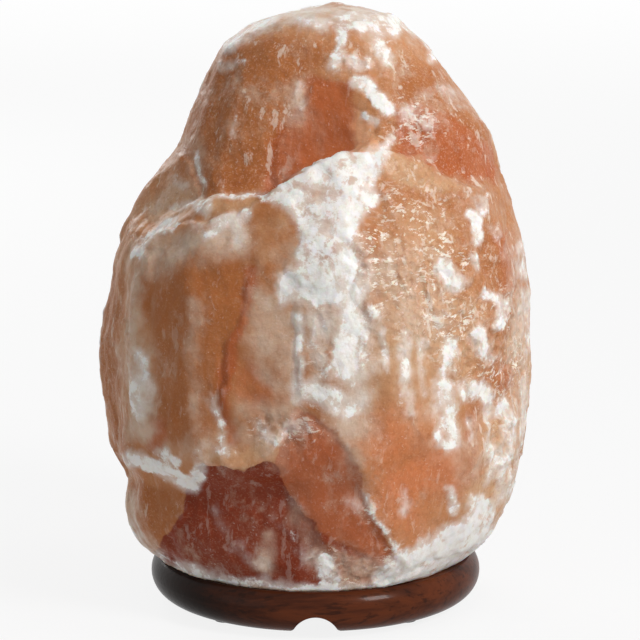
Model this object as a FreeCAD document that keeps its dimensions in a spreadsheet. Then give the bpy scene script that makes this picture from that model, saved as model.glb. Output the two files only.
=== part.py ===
"""Salt crystal lamp: a cleaved block of rock salt on a turned wooden base, lit from inside.

The block is drilled from below.  A screw-thread lampholder stands in the bore, held there by the two
bowed legs of a spring clip, and it is drawn down out of the base to change the bulb.  The cord would
leave the holder's lower cap and run forward in the groove that shows as a notch in the base's rim.

Frame: +Z up, the notch towards -Y, the origin on the resting plane under the middle of the base.
All sizes are in millimetres.
"""
import FreeCAD, Part

import math
import os
import re

import Sketcher
from FreeCAD import Placement, Rotation, Vector

# Each driving size: its name, its value and what it measures.
SIZES = [
    # wooden base
    ("foot_height", "2", "rubber foot, from the table to the base's underside"),
    ("foot_radius", "5", "rubber foot"),
    ("foot_circle", "47", "radius on which the feet stand"),
    ("base_radius", "62.5", "base at its widest line"),
    ("base_height", "16", "base, underside to top"),
    ("base_belly", "9", "height of the widest line above the underside"),
    ("base_tuck_low", "8", "how far the underside's edge is set in from the widest line"),
    ("base_tuck_top", "3.5", "how far the top's edge is set in from the widest line"),
    ("bore_radius", "22", "bore for the lampholder, in the base and in the salt"),
    ("notch_half_width", "7.8", "cord groove, half its width above the flare"),
    ("notch_height", "7.5", "cord groove, above the underside"),
    ("notch_flare_width", "3.5", "how far each lower edge of the groove flares out"),
    ("notch_flare_height", "2.2", "height of that flare"),
    # salt block
    ("rock_width", "164", "salt block, left to right"),
    ("rock_depth", "148", "salt block, front to back"),
    ("rock_height", "209", "salt block, above the base"),
    ("bore_depth", "102", "bore in the salt, above the base"),
    ("bore_cone", "6", "height of the cone that the drill left at the bore's end"),
    # fixing of the base
    ("screw_circle", "36", "radius on which the base screws stand"),
    ("screw_radius", "2", "shank of a base screw"),
    ("screw_head_radius", "4.2", "countersunk head of a base screw"),
    ("screw_head_height", "2.8", "countersunk head of a base screw"),
    ("screw_sink", "1.5", "how far the head lies above the underside"),
    ("screw_length", "36", "base screw, over its head"),
    ("anchor_radius", "4", "plastic anchor in the salt"),
    ("anchor_length", "28", "plastic anchor in the salt"),
    ("drill_room", "0.2", "clearance of a drilled hole round what it takes"),
    # lampholder
    ("holder_lift", "9", "lower cap's bottom above the base's underside"),
    ("cap_radius", "14", "lower cap of the holder"),
    ("cap_height", "24", "lower cap of the holder"),
    ("cap_floor", "3", "floor of the lower cap"),
    ("cap_wall", "1.8", "wall of the lower cap round the skirt's spigot"),
    ("cap_edge", "3", "round on the cap's lower edge"),
    ("cord_hole_radius", "3.75", "cord entry in the cap's floor"),
    ("ledge_drop", "8", "cap's inner ledge below the cap's top"),
    ("ledge_width", "1.4", "cap's inner ledge"),
    ("skirt_radius", "13.5", "upper skirt of the holder"),
    ("skirt_wall", "1.6", "wall of the skirt"),
    ("skirt_height", "26", "skirt above the cap"),
    ("flange_lift", "15", "clip flange on the skirt, above the cap"),
    ("flange_height", "1.5", "clip flange on the skirt"),
    ("flange_width", "1.5", "clip flange on the skirt, out from the skirt"),
    ("nut_height", "6", "ring nut that clamps the clip"),
    ("nut_wall", "2.8", "ring nut that clamps the clip"),
    ("core_flange", "1.5", "flange of the insulating core"),
    ("core_height", "10", "insulating core"),
    ("core_boss_depth", "1.2", "recess of the core under the centre contact"),
    ("fit", "0.15", "clearance between pieces of the holder"),
    # spring clip
    ("clip_thickness", "0.6", "spring steel of the clip"),
    ("clip_width", "12", "clip leg"),
    ("clip_reach", "1.5", "clip ear beyond the skirt's flange"),
    ("clip_play", "0.3", "gap between a clip leg and the bore's wall"),
    ("clip_foot_drop", "1", "lower end of a clip leg above the cap's bottom"),
    ("clip_foot_inset", "3.8", "lower end of a clip leg, in from the bore's wall"),
    # contacts
    ("thread_pitch", "2.8222", "holder and bulb thread"),
    ("thread_turns", "4.5", "turns of thread on the bulb's cap"),
    ("thread_core", "6.12", "bulb thread, radius at its root"),
    ("thread_round", "0.82", "bulb thread, radius of its round ridge"),
    ("thread_room", "0.23", "clearance between the two threads"),
    ("shell_wall", "0.35", "threaded shell of the holder, at the bottom of its groove"),
    ("shell_height", "18.4", "threaded shell of the holder"),
    ("shell_foot_width", "2.1", "foot of the threaded shell"),
    ("shell_foot_height", "0.6", "foot of the threaded shell"),
    ("contact_thickness", "0.5", "centre contact"),
    ("contact_width", "4", "centre contact"),
    ("contact_rise", "2", "centre contact's pad above its foot"),
    ("terminal_width", "6.2", "wire terminal, across"),
    ("terminal_depth", "6", "wire terminal, along the wire"),
    ("terminal_height", "7", "wire terminal"),
    ("terminal_gap", "3.4", "wire terminal, from the holder's axis"),
    ("terminal_screw_radius", "1.5", "shank of a terminal screw"),
    ("terminal_head_radius", "2.4", "head of a terminal screw"),
    ("terminal_head_height", "1.8", "head of a terminal screw"),
    ("wire_hole_radius", "1.2", "wire hole of a terminal"),
    ("rivet_radius", "0.8", "rivet through the core"),
    ("rivet_head", "0.4", "height and overhang of a rivet's head"),
    # bulb
    ("bulb_radius", "12.5", "bulb glass"),
    ("bulb_length", "57", "bulb, from its tip to its top"),
    ("glass_wall", "0.8", "bulb glass"),
    ("neck_radius", "5.6", "neck of the bulb glass"),
    ("tip_height", "1.4", "solder tip"),
    ("tip_radius", "2.2", "solder tip"),
    ("insulator_height", "3", "black glass under the bulb's cap"),
    ("cap_tin", "0.3", "brass of the bulb's cap"),
    ("collar_height", "4.5", "flared collar of the bulb's cap"),
    ("collar_radius", "7.6", "flared collar of the bulb's cap"),
    ("stem_height", "14", "glass stem inside the bulb"),
    ("filament_radius", "6", "curve of the filament"),
    ("filament_wire", "0.3", "coiled filament, outer radius of its coil"),
    ("lead_wire", "0.35", "lead wire, radius"),
    ("lead_height", "11", "lead wires above the stem"),
    ("wire_gap", "0.15", "between the filament's coil and the ends that hold it"),
]

doc = FreeCAD.newDocument("salt_lamp")
sheet = doc.addObject("Spreadsheet::Sheet", "sizes")
for row, (alias, value, meaning) in enumerate(SIZES, start=1):
    sheet.set(f"A{row}", meaning)
    sheet.set(f"B{row}", value)
    sheet.setAlias(f"B{row}", alias)
doc.recompute()

# One float property, bound in turn to each expression whose value a drawing needs.
reader = doc.addObject("App::FeaturePython", "reader")
reader.addProperty("App::PropertyFloat", "number")

ALIASES = {alias for alias, _, _ in SIZES}
NAME = re.compile(r"[a-z][a-z_0-9]*")


def cells(expression):
    """The expression with each size's name pointed at its cell."""
    return NAME.sub(lambda m: "sizes." + m.group() if m.group() in ALIASES else m.group(), expression)


def number(expression):
    """What the expression comes to with the sheet as it is."""
    reader.setExpression("number", cells(expression))
    reader.recompute()
    return reader.number


# Levels and radii that several pieces share, each worked out from the sheet.
BASE_TOP = "(foot_height + base_height)"
CAP_BOTTOM = "(foot_height + holder_lift)"
CAP_TOP = f"({CAP_BOTTOM} + cap_height)"
LEDGE = f"({CAP_TOP} - ledge_drop)"
SPIGOT_OUTER = "(cap_radius - cap_wall - fit)"
SPIGOT_INNER = f"({SPIGOT_OUTER} - skirt_wall)"
CAVITY = "(cap_radius - cap_wall - ledge_width)"
SKIRT_INNER = "(skirt_radius - skirt_wall)"
SKIRT_TOP = f"({CAP_TOP} + skirt_height)"
FLANGE_TOP = f"({CAP_TOP} + flange_lift + flange_height)"
CLIP_TOP = f"({FLANGE_TOP} + clip_thickness)"
CLIP_REACH = "(skirt_radius + flange_width + clip_reach)"
CORE_TOP = f"({LEDGE} + core_height)"
SHELL_INNER = "(thread_core + thread_room)"
SHELL_OUTER = "(thread_core + thread_round + thread_room + shell_wall)"
TIP_BOTTOM = f"({CORE_TOP} + contact_thickness + contact_rise + 0.1)"
CAP_SHELL_BOTTOM = f"({TIP_BOTTOM} + tip_height + insulator_height)"
THREAD_START = f"({CAP_SHELL_BOTTOM} + thread_round + 0.3)"
COLLAR_BOTTOM = f"({THREAD_START} + thread_turns * thread_pitch + thread_round + 0.4)"
COLLAR_TOP = f"({COLLAR_BOTTOM} + collar_height)"
BULB_TOP = f"({TIP_BOTTOM} + bulb_length)"
BULB_MIDDLE = f"({BULB_TOP} - bulb_radius)"
STEM_BOTTOM = f"({COLLAR_TOP} - 3)"
STEM_TOP = f"({STEM_BOTTOM} + stem_height)"
TERMINAL_MIDDLE = "(terminal_gap + terminal_width / 2)"


def new_body(label):
    body = doc.addObject("PartDesign::Body", label)
    body.Label = label
    return body


def plane_of(body, role):
    return next(o for o in body.Origin.OriginFeatures if o.Role == role)


def new_sketch(body, name, role):
    """An empty sketch on one of the body's own origin planes."""
    sketch = body.newObject("Sketcher::SketchObject", name)
    sketch.AttachmentSupport = [(plane_of(body, role), "")]
    sketch.MapMode = "FlatFace"
    return sketch


def bind_point(sketch, geometry, end, across, up):
    """Holds one point of the sketch at two expressions, measured from the sketch's origin."""
    for kind, expression in (("DistanceX", across), ("DistanceY", up)):
        constraint = Sketcher.Constraint(kind, -1, 1, geometry, end, number(expression))
        index = sketch.addConstraint(constraint)
        sketch.setExpression(f"Constraints[{index}]", cells(expression))


def arc_between(start, stop, radius, turn):
    """The lesser arc from start to stop, turning left (1) or right (-1)."""
    chord = stop - start
    rise = math.sqrt(max(radius ** 2 - (chord.Length / 2) ** 2, 0.0))
    left = Vector(-chord.y, chord.x, 0).normalize()
    centre = (start + stop) / 2 + left * rise * turn
    first, last = (start, stop) if turn > 0 else (stop, start)
    angles = [math.atan2(p.y - centre.y, p.x - centre.x) for p in (first, last)]
    if angles[1] < angles[0]:
        angles[1] += 2 * math.pi
    return Part.ArcOfCircle(Part.Circle(centre, Vector(0, 0, 1), radius), *angles)


def draw(body, name, role, outline):
    """A closed outline.  Each corner is (across, up), or (across, up, radius, turn) where an arc leaves it."""
    sketch = new_sketch(body, name, role)
    points = [Vector(number(corner[0]), number(corner[1]), 0) for corner in outline]
    ends = []
    for i, corner in enumerate(outline):
        start, stop = points[i], points[(i + 1) % len(points)]
        if len(corner) == 2:
            line = sketch.addGeometry(Part.LineSegment(start, stop), False)
            ends.append((line, 1, 2))
            continue
        _, _, radius, turn = corner
        arc = sketch.addGeometry(arc_between(start, stop, number(radius), turn), False)
        ends.append((arc, 1, 2) if turn > 0 else (arc, 2, 1))
        index = sketch.addConstraint(Sketcher.Constraint("Radius", arc, number(radius)))
        sketch.setExpression(f"Constraints[{index}]", cells(radius))
    for i, (geometry, first, last) in enumerate(ends):
        following, its_first, _ = ends[(i + 1) % len(ends)]
        sketch.addConstraint(Sketcher.Constraint("Coincident", geometry, last, following, its_first))
    for (geometry, first, _), corner in zip(ends, outline):
        bind_point(sketch, geometry, first, corner[0], corner[1])
    return sketch


def draw_axis(sketch, across):
    """A construction line up the sketch, for a feature that turns about it.  Returns its name."""
    line = Part.LineSegment(Vector(number(across), 0, 0), Vector(number(across), 10, 0))
    axis = sketch.addGeometry(line, True)
    bind_point(sketch, axis, 1, across, "0")
    bind_point(sketch, axis, 2, across, "10")
    return "Axis0"


def draw_circle(body, name, role, across, up, radius):
    sketch = new_sketch(body, name, role)
    centre = Vector(number(across), number(up), 0)
    circle = sketch.addGeometry(Part.Circle(centre, Vector(0, 0, 1), number(radius)), False)
    bind_point(sketch, circle, 3, across, up)
    index = sketch.addConstraint(Sketcher.Constraint("Radius", circle, number(radius)))
    sketch.setExpression(f"Constraints[{index}]", cells(radius))
    return sketch


def turn_about(body, kind, name, sketch, axis="V_Axis"):
    """A Revolution or Groove all the way round."""
    feature = body.newObject("PartDesign::" + kind, name)
    feature.Profile = sketch
    feature.ReferenceAxis = (sketch, [axis])
    feature.Angle = 360
    return feature


def turned(label, outline):
    """A piece that is a plain turned shape about the lamp's axis."""
    body = new_body(label)
    turn_about(body, "Revolution", label + "_turned", draw(body, label + "_outline", "XZ_Plane", outline))
    return body


def pad(body, name, sketch, length, both_ways=True):
    feature = body.newObject("PartDesign::Pad", name)
    feature.Profile = sketch
    feature.setExpression("Length", cells(length))
    feature.Midplane = both_ways
    return feature


def pocket(body, name, sketch, length, towards=None):
    """A pocket of that length, both ways, or one way towards a direction."""
    feature = body.newObject("PartDesign::Pocket", name)
    feature.Profile = sketch
    feature.setExpression("Length", cells(length))
    feature.Midplane = towards is None
    if towards is not None:
        feature.UseCustomVector = True
        feature.Direction = towards
        feature.Reversed = False
    return feature


def all_round(body, name, features, copies):
    """Repeats features about the lamp's axis."""
    pattern = body.newObject("PartDesign::PolarPattern", name)
    pattern.Originals = features
    pattern.Axis = (plane_of(body, "Z_Axis"), [""])
    pattern.Angle = 360
    pattern.Occurrences = copies
    body.Tip = pattern
    return pattern


FEET, SCREWS = 4, 3


def countersunk_hole(body, name):
    """The clearance hole of one base screw, open below, and its copies."""
    room, shank, head = "drill_room", "screw_radius", "screw_head_radius"
    head_level = "(foot_height + screw_sink)"
    edge = f"(screw_circle + {head} + {room})"
    wall = f"(screw_circle + {shank} + {room})"
    sketch = draw(body, name + "_outline", "YZ_Plane", [
        ("screw_circle", "foot_height - 1"),
        (edge, "foot_height - 1"),
        (edge, head_level),
        (wall, f"{head_level} + screw_head_height"),
        (wall, f"{BASE_TOP} + 1"),
        ("screw_circle", f"{BASE_TOP} + 1"),
    ])
    groove = turn_about(body, "Groove", name, sketch, draw_axis(sketch, "screw_circle"))
    all_round(body, name + "_pattern", [groove], SCREWS)


def make_wood_base():
    """Turned disc with a round belly, the bore, the cord groove to the front and the screw holes."""
    low_radius = "(base_tuck_low ^ 2 + base_belly ^ 2) / (2 * base_tuck_low)"
    rise = "(base_height - base_belly)"
    top_radius = f"(base_tuck_top ^ 2 + {rise} ^ 2) / (2 * base_tuck_top)"
    body = turned("wood_base", [
        ("bore_radius", "foot_height"),
        ("base_radius - base_tuck_low", "foot_height", low_radius, 1),
        ("base_radius", "foot_height + base_belly", top_radius, 1),
        ("base_radius - base_tuck_top", BASE_TOP),
        ("bore_radius", BASE_TOP),
    ])
    half = "notch_half_width"
    flare = f"({half} + notch_flare_width)"
    flare_top = "(foot_height + notch_flare_height)"
    arch = "(notch_height - notch_flare_height)"
    arch_radius = f"({half} ^ 2 + {arch} ^ 2) / (2 * {arch})"
    flare_radius = "(notch_flare_width ^ 2 + notch_flare_height ^ 2) / (2 * notch_flare_height)"
    below = "foot_height - 1"
    groove = draw(body, "cord_groove_outline", "XZ_Plane", [
        (f"-{flare}", below),
        (flare, below),
        (flare, "foot_height", flare_radius, -1),
        (half, flare_top, arch_radius, 1),
        (f"-{half}", flare_top, flare_radius, -1),
        (f"-{flare}", "foot_height"),
    ])
    pocket(body, "cord_groove", groove, "base_radius + 5", Vector(0, -1, 0))
    countersunk_hole(body, "screw_hole")


def make_rubber_feet():
    """Four stick-on feet with a softened lower edge."""
    body = new_body("rubber_feet")
    edge = "foot_circle + foot_radius"
    outline = draw(body, "foot_outline", "XZ_Plane", [
        ("foot_circle", "0"),
        (edge + " - 0.6", "0"),
        (edge, "foot_height - 0.8"),
        (edge, "foot_height"),
        ("foot_circle", "foot_height"),
    ])
    foot = turn_about(body, "Revolution", "foot", outline, draw_axis(outline, "foot_circle"))
    all_round(body, "foot_pattern", [foot], FEET)
    body.Placement = Placement(Vector(), Rotation(Vector(0, 0, 1), 180.0 / FEET))


def make_base_screws():
    """Three countersunk screws, driven up through the base into the anchors."""
    body = new_body("base_screws")
    bottom = "(foot_height + screw_sink)"
    top = f"({bottom} + screw_length)"
    axis, shank = "screw_circle", "screw_radius"
    outline = draw(body, "base_screw_outline", "YZ_Plane", [
        (axis, f"{bottom} + 1"),
        (f"{axis} + {shank} * 0.5", f"{bottom} + 1"),
        (f"{axis} + {shank} * 0.9", bottom),
        (f"{axis} + screw_head_radius", bottom),
        (f"{axis} + {shank}", f"{bottom} + screw_head_height"),
        (f"{axis} + {shank}", f"{top} - 3 * {shank}"),
        (axis, top),
    ])
    screw = turn_about(body, "Revolution", "base_screw", outline, draw_axis(outline, axis))
    all_round(body, "base_screw_pattern", [screw], SCREWS)


def make_screw_anchors():
    """Three plastic sleeves with a rim, pushed into the salt, each round the end of a screw."""
    body = new_body("screw_anchors")
    inner = "(screw_circle + screw_radius + 0.05)"
    outer = "(screw_circle + anchor_radius)"
    top = f"({BASE_TOP} + anchor_length)"
    outline = draw(body, "anchor_outline", "YZ_Plane", [
        (inner, BASE_TOP),
        (outer, BASE_TOP),
        (outer, f"{top} - 3"),
        (f"{outer} - 0.8", top),
        (inner, top),
    ])
    anchor = turn_about(body, "Revolution", "anchor", outline, draw_axis(outline, "screw_circle"))
    all_round(body, "anchor_pattern", [anchor], SCREWS)


# The salt block as it was surveyed: corners at these levels, each row going round from the left edge
# over the front (8 corners) to the right edge and back over the rear (4 corners), as (x, y, height
# above the base).  The rows follow the block's own ridges, so a row rises and falls.
SURVEY_WIDTH, SURVEY_DEPTH, SURVEY_HEIGHT = 164.0, 148.0, 209.0
ROCK_ROWS = [
    # the sawn foot, which stands on the base
    [(-61, -8, 0), (-56, -22, 0), (-45, -39, 0), (-27, -52, 0), (-9, -58, 0), (7, -58, 0), (25, -53, 0),
     (42, -39, 0), (54, -20, 0), (60, -1, 0), (52, 27, 0), (30, 50, 0), (-8, 57, 0), (-45, 38, 0)],
    # swelling out over the base; in front the foot of the large chip
    [(-70, -9, 8), (-63, -27, 9), (-52, -42, 9), (-28, -57, 9), (-9, -61, 10), (10, -62, 12), (33, -57, 9),
     (50, -41, 8), (63, -21, 8), (68, 1, 8), (60, 32, 8), (34, 57, 8), (-9, 64, 8), (-52, 44, 8)],
    # the lobe at lower left; the ridge that parts the chip's two faces
    [(-73, -11, 20), (-67, -31, 21), (-48, -50, 22), (-28, -58, 23), (-12, -61, 24), (3, -65, 26), (29, -63, 24),
     (55, -46, 22), (70, -23, 21), (75, 2, 21), (65, 35, 20), (37, 63, 20), (-10, 69, 20), (-56, 48, 20)],
    # the neck over the lobe
    [(-71, -11, 33), (-64, -33, 35), (-43, -53, 37), (-26, -59, 37), (-14, -61, 38), (2, -65, 39), (25, -67, 39),
     (57, -49, 36), (72, -24, 34), (78, 3, 34), (67, 37, 34), (39, 66, 34), (-11, 71, 34), (-58, 49, 34)],
    # the lip that overhangs the neck and the chip
    [(-77, -9, 40), (-71, -34, 43), (-40, -64, 49), (-30, -68, 49), (-17, -70, 49), (0, -72, 54), (19, -72, 50),
     (58, -52, 48), (74, -26, 46), (80, 3, 46), (69, 38, 46), (40, 68, 46), (-11, 73, 46), (-61, 50, 46)],
    # full width, up to the waist of the big front faces
    [(-80.5, -8, 58), (-68, -39, 60), (-47, -60, 62), (-27, -67, 64), (-11, -71, 68), (5, -73, 70), (31, -69, 64),
     (53, -52, 62), (71, -28, 60), (82, 4, 62), (71, 39, 60), (41, 70, 60), (-12, 74, 60), (-63, 50, 60)],
    [(-82, -6, 79), (-67, -40, 80), (-46, -61, 82), (-27, -66, 83), (-11, -70, 85), (7, -74, 86), (30, -69, 84),
     (53, -53, 82), (71, -29, 80), (82, 4, 80), (72, 40, 80), (42, 70, 80), (-13, 74, 80), (-63, 50, 80)],
    [(-78, -5, 102), (-68, -37, 104), (-46, -59, 106), (-27, -64, 108), (-11, -68, 109), (9, -73, 110),
     (30, -67, 108), (52, -51, 106), (71, -29, 104), (81, 3, 100), (71, 39, 102), (42, 69, 102), (-13, 72, 102),
     (-61, 49, 102)],
    # the front faces lean back
    [(-75, -3, 117), (-66, -34, 119), (-45, -55, 123), (-27, -61, 126), (-11, -65, 129), (10, -69, 130),
     (31, -64, 126), (52, -49, 122), (70, -28, 120), (79, 2, 115), (69, 37, 117), (40, 67, 117), (-13, 69, 117),
     (-58, 47, 117)],
    # the crest, highest right of the middle
    [(-71, -2, 129), (-57, -32, 129), (-40, -45, 143), (-23, -48, 146), (-7, -49, 155), (11, -47, 161),
     (25, -44, 164), (46, -40, 149), (64, -25, 144), (75, 1, 130), (66, 35, 132), (38, 62, 132), (-13, 64, 132),
     (-54, 44, 132)],
    # the crease behind the crest
    [(-66, 0, 140), (-54, -26, 133), (-38, -37, 142), (-22, -38, 145), (-6, -36, 152), (11, -35, 160),
     (24, -38, 166), (47, -35, 152), (63, -20, 148), (70, 2, 146), (61, 32, 146), (35, 56, 146), (-12, 58, 146),
     (-49, 40, 146)],
    # the upper block
    [(-52, 2, 156), (-45, -19, 157), (-34, -31, 159), (-20, -35, 162), (-3, -32, 166), (12, -34, 172),
     (22, -37, 174), (46, -29, 168), (61, -13, 165), (66, 4, 162), (56, 28, 162), (32, 50, 162), (-10, 51, 160),
     (-41, 34, 158)],
    [(-43, 3, 178), (-38, -14, 179), (-28, -25, 180), (-14, -29, 182), (0, -30, 183), (14, -32, 184),
     (26, -29, 183), (42, -20, 180), (50, -7, 179), (53, 5, 179), (46, 24, 178), (28, 42, 178), (-8, 43, 178),
     (-34, 28, 178)],
    [(-36, 3, 193), (-32, -9, 194), (-24, -18, 195), (-12, -23, 196), (2, -25, 197), (14, -25, 197),
     (24, -22, 196), (34, -15, 195), (39, -5, 194), (41, 5, 194), (36, 19, 193), (22, 32, 193), (-6, 33, 193),
     (-28, 22, 193)],
    # the edge of the crown
    [(-22, 4, 203), (-19, -4, 204), (-14, -10, 205), (-5, -14, 206), (5, -15, 207), (13, -14, 207),
     (20, -11, 206), (26, -7, 205), (29, -1, 204), (30, 6, 204), (26, 15, 203), (16, 22, 203), (-2, 23, 203),
     (-17, 15, 203)],
]
CROWN = (7, 4, 209)


def make_rock_block():
    """The undrilled block: the survey's rows, joined by flat facets."""
    scale = Vector(number("rock_width") / SURVEY_WIDTH, number("rock_depth") / SURVEY_DEPTH,
                   number("rock_height") / SURVEY_HEIGHT)
    foot = number(BASE_TOP)

    def corner(x, y, height):
        return Vector(x * scale.x, y * scale.y, foot + height * scale.z)

    def facet(*corners):
        return Part.Face(Part.makePolygon([*corners, corners[0]]))

    rows = [[corner(*point) for point in row] for row in ROCK_ROWS]
    facets = [facet(*reversed(rows[0]))]
    for lower, upper in zip(rows, rows[1:]):
        for i in range(len(lower)):
            a, b = lower[i], lower[(i + 1) % len(lower)]
            d, c = upper[i], upper[(i + 1) % len(upper)]
            if (c - a).Length < (d - b).Length:
                facets += [facet(a, b, c), facet(a, c, d)]
            else:
                facets += [facet(a, b, d), facet(b, c, d)]
    crown = corner(*CROWN)
    edge = rows[-1]
    facets += [facet(edge[i], edge[(i + 1) % len(edge)], crown) for i in range(len(edge))]
    block = doc.addObject("Part::Feature", "rock_block")
    block.Shape = Part.Solid(Part.Shell(facets))
    return block


def make_salt_crystal():
    """The block, with the lampholder's bore and the three anchor holes drilled from below."""
    block = make_rock_block()
    body = new_body("salt_crystal")
    body.BaseFeature = block
    doc.recompute()
    bore_end = f"({BASE_TOP} + bore_depth)"
    bore = draw(body, "salt_bore_outline", "XZ_Plane", [
        ("0", f"{BASE_TOP} - 1"),
        ("bore_radius", f"{BASE_TOP} - 1"),
        ("bore_radius", f"{bore_end} - bore_cone"),
        ("0", bore_end),
    ])
    turn_about(body, "Groove", "salt_bore", bore)
    wall = "(screw_circle + anchor_radius)"
    end = f"({BASE_TOP} + anchor_length)"
    screw_end = "(foot_height + screw_sink + screw_length + 1)"
    tip = "(screw_circle + screw_radius + 0.05)"
    hole = draw(body, "anchor_hole_outline", "YZ_Plane", [
        ("screw_circle", f"{BASE_TOP} - 1"),
        (wall, f"{BASE_TOP} - 1"),
        (wall, end),
        (tip, end),
        (tip, f"max({screw_end}; {end} + 0.5)"),
        ("screw_circle", f"max({screw_end}; {end} + 0.5)"),
    ])
    groove = turn_about(body, "Groove", "anchor_hole", hole, draw_axis(hole, "screw_circle"))
    all_round(body, "anchor_hole_pattern", [groove], SCREWS)


def make_holder_cap():
    """Lower cap: a cup with the cord entry in its floor and a ledge for the core."""
    turned("holder_cap", [
        ("cord_hole_radius", CAP_BOTTOM),
        ("cap_radius - cap_edge", CAP_BOTTOM, "cap_edge", 1),
        ("cap_radius", f"{CAP_BOTTOM} + cap_edge"),
        ("cap_radius", CAP_TOP),
        ("cap_radius - cap_wall", CAP_TOP),
        ("cap_radius - cap_wall", LEDGE),
        (CAVITY, LEDGE),
        (CAVITY, f"{CAP_BOTTOM} + cap_floor"),
        ("cord_hole_radius", f"{CAP_BOTTOM} + cap_floor"),
    ])


def make_holder_skirt():
    """Upper skirt: a tube with a spigot into the cap and the flange that the clip sits on."""
    turned("holder_skirt", [
        (SPIGOT_INNER, f"{LEDGE} + core_flange"),
        (SPIGOT_OUTER, f"{LEDGE} + core_flange"),
        (SPIGOT_OUTER, CAP_TOP),
        ("skirt_radius", CAP_TOP),
        ("skirt_radius", f"{FLANGE_TOP} - flange_height"),
        ("skirt_radius + flange_width", f"{FLANGE_TOP} - flange_height"),
        ("skirt_radius + flange_width", FLANGE_TOP),
        ("skirt_radius", FLANGE_TOP),
        ("skirt_radius", SKIRT_TOP),
        (SKIRT_INNER, SKIRT_TOP),
        (SKIRT_INNER, f"{CAP_TOP} + skirt_wall"),
        (SPIGOT_INNER, f"{CAP_TOP} + skirt_wall"),
    ])


def make_ring_nut():
    """Ring nut on the skirt, with eight finger notches."""
    inner, top = "(skirt_radius + fit)", f"({CLIP_TOP} + nut_height)"
    outer = f"({inner} + nut_wall)"
    body = turned("ring_nut", [
        (inner, CLIP_TOP),
        (f"{outer} - 0.5", CLIP_TOP),
        (outer, f"{CLIP_TOP} + 0.5"),
        (outer, f"{top} - 0.5"),
        (f"{outer} - 0.5", top),
        (inner, top),
    ])
    notch = draw_circle(body, "finger_notch_outline", "XY_Plane", f"{outer} + 1", "0", "1.9")
    cut = pocket(body, "finger_notch", notch, f"2 * {top} + 2")
    all_round(body, "finger_notches", [cut], 8)


def make_holder_core():
    """Insulating core: flanged disc with a recess for the centre contact and two rivet holes."""
    body = turned("holder_core", [
        ("0", LEDGE),
        (SPIGOT_OUTER, LEDGE),
        (SPIGOT_OUTER, f"{LEDGE} + core_flange"),
        (f"{SPIGOT_INNER} - fit", f"{LEDGE} + core_flange"),
        (f"{SPIGOT_INNER} - fit", CORE_TOP),
        ("0", CORE_TOP),
    ])
    for name, across in (("neutral", NEUTRAL_RIVET), ("live", LIVE_RIVET)):
        hole = draw_circle(body, name + "_rivet_hole_outline", "XY_Plane", across, "0", "rivet_radius + 0.03")
        pocket(body, name + "_rivet_hole", hole, f"2 * {CORE_TOP} + 2")


NEUTRAL_RIVET = f"({SHELL_OUTER} + shell_foot_width / 2)"
LIVE_RIVET = "(-(terminal_gap + rivet_radius + 0.2))"
THREAD_REACH = "(thread_core + thread_round)"


def helix(body, kind, name, sketch, pitch, height):
    feature = body.newObject("PartDesign::" + kind, name)
    feature.Profile = sketch
    feature.ReferenceAxis = (sketch, ["V_Axis"])
    feature.Mode = "pitch-height-angle"
    feature.setExpression("Pitch", cells(pitch))
    feature.setExpression("Height", cells(height))
    feature.LeftHanded = False
    return feature


def make_thread_shell():
    """Threaded shell of the holder.  Its groove starts one turn below the bulb's thread, in step with it."""
    foot_top = f"({CORE_TOP} + shell_foot_height)"
    top = f"({CORE_TOP} + shell_height)"
    body = turned("thread_shell", [
        (SHELL_INNER, CORE_TOP),
        (f"{SHELL_OUTER} + shell_foot_width", CORE_TOP),
        (f"{SHELL_OUTER} + shell_foot_width", foot_top),
        (SHELL_OUTER, foot_top),
        (SHELL_OUTER, top),
        (SHELL_INNER, top),
    ])
    start, depth = f"({THREAD_START} - thread_pitch)", "(thread_round + thread_room)"
    wire = draw(body, "groove_outline", "XZ_Plane", [
        ("thread_core - 0.4", f"{start} - {depth}"),
        ("thread_core", f"{start} - {depth}", depth, 1),
        (f"thread_core + {depth}", start, depth, 1),
        ("thread_core", f"{start} + {depth}"),
        ("thread_core - 0.4", f"{start} + {depth}"),
    ])
    turns = f"ceil(({top} - {start} + 2 * thread_round) / thread_pitch)"
    helix(body, "SubtractiveHelix", "thread_groove", wire, "thread_pitch", f"{turns} * thread_pitch")
    hole = draw_circle(body, "foot_hole_outline", "XY_Plane", NEUTRAL_RIVET, "0", "rivet_radius + 0.03")
    pocket(body, "foot_hole", hole, f"2 * {foot_top}")


def make_bulb_cap():
    """Brass cap of the bulb: a thin tube with a round rolled thread and a collar round the glass."""
    collar = "(collar_radius - thread_core)"
    body = turned("bulb_cap", [
        ("thread_core - 2 * cap_tin", CAP_SHELL_BOTTOM),
        ("thread_core", CAP_SHELL_BOTTOM),
        ("thread_core", COLLAR_BOTTOM),
        ("collar_radius", f"{COLLAR_BOTTOM} + {collar}"),
        ("collar_radius", COLLAR_TOP),
        ("collar_radius - cap_tin", COLLAR_TOP),
        ("collar_radius - cap_tin", f"{COLLAR_BOTTOM} + {collar} + cap_tin"),
        ("thread_core - 2 * cap_tin", f"{COLLAR_BOTTOM} + cap_tin"),
    ])
    # the ridge's inner half is left off, so that it stays within the tube's wall
    ridge = draw(body, "ridge_outline", "XZ_Plane", [
        ("thread_core - cap_tin", f"{THREAD_START} - thread_round"),
        ("thread_core", f"{THREAD_START} - thread_round", "thread_round", 1),
        (THREAD_REACH, THREAD_START, "thread_round", 1),
        ("thread_core", f"{THREAD_START} + thread_round"),
        ("thread_core - cap_tin", f"{THREAD_START} + thread_round"),
    ])
    helix(body, "AdditiveHelix", "thread_ridge", ridge, "thread_pitch", "thread_turns * thread_pitch")


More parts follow.
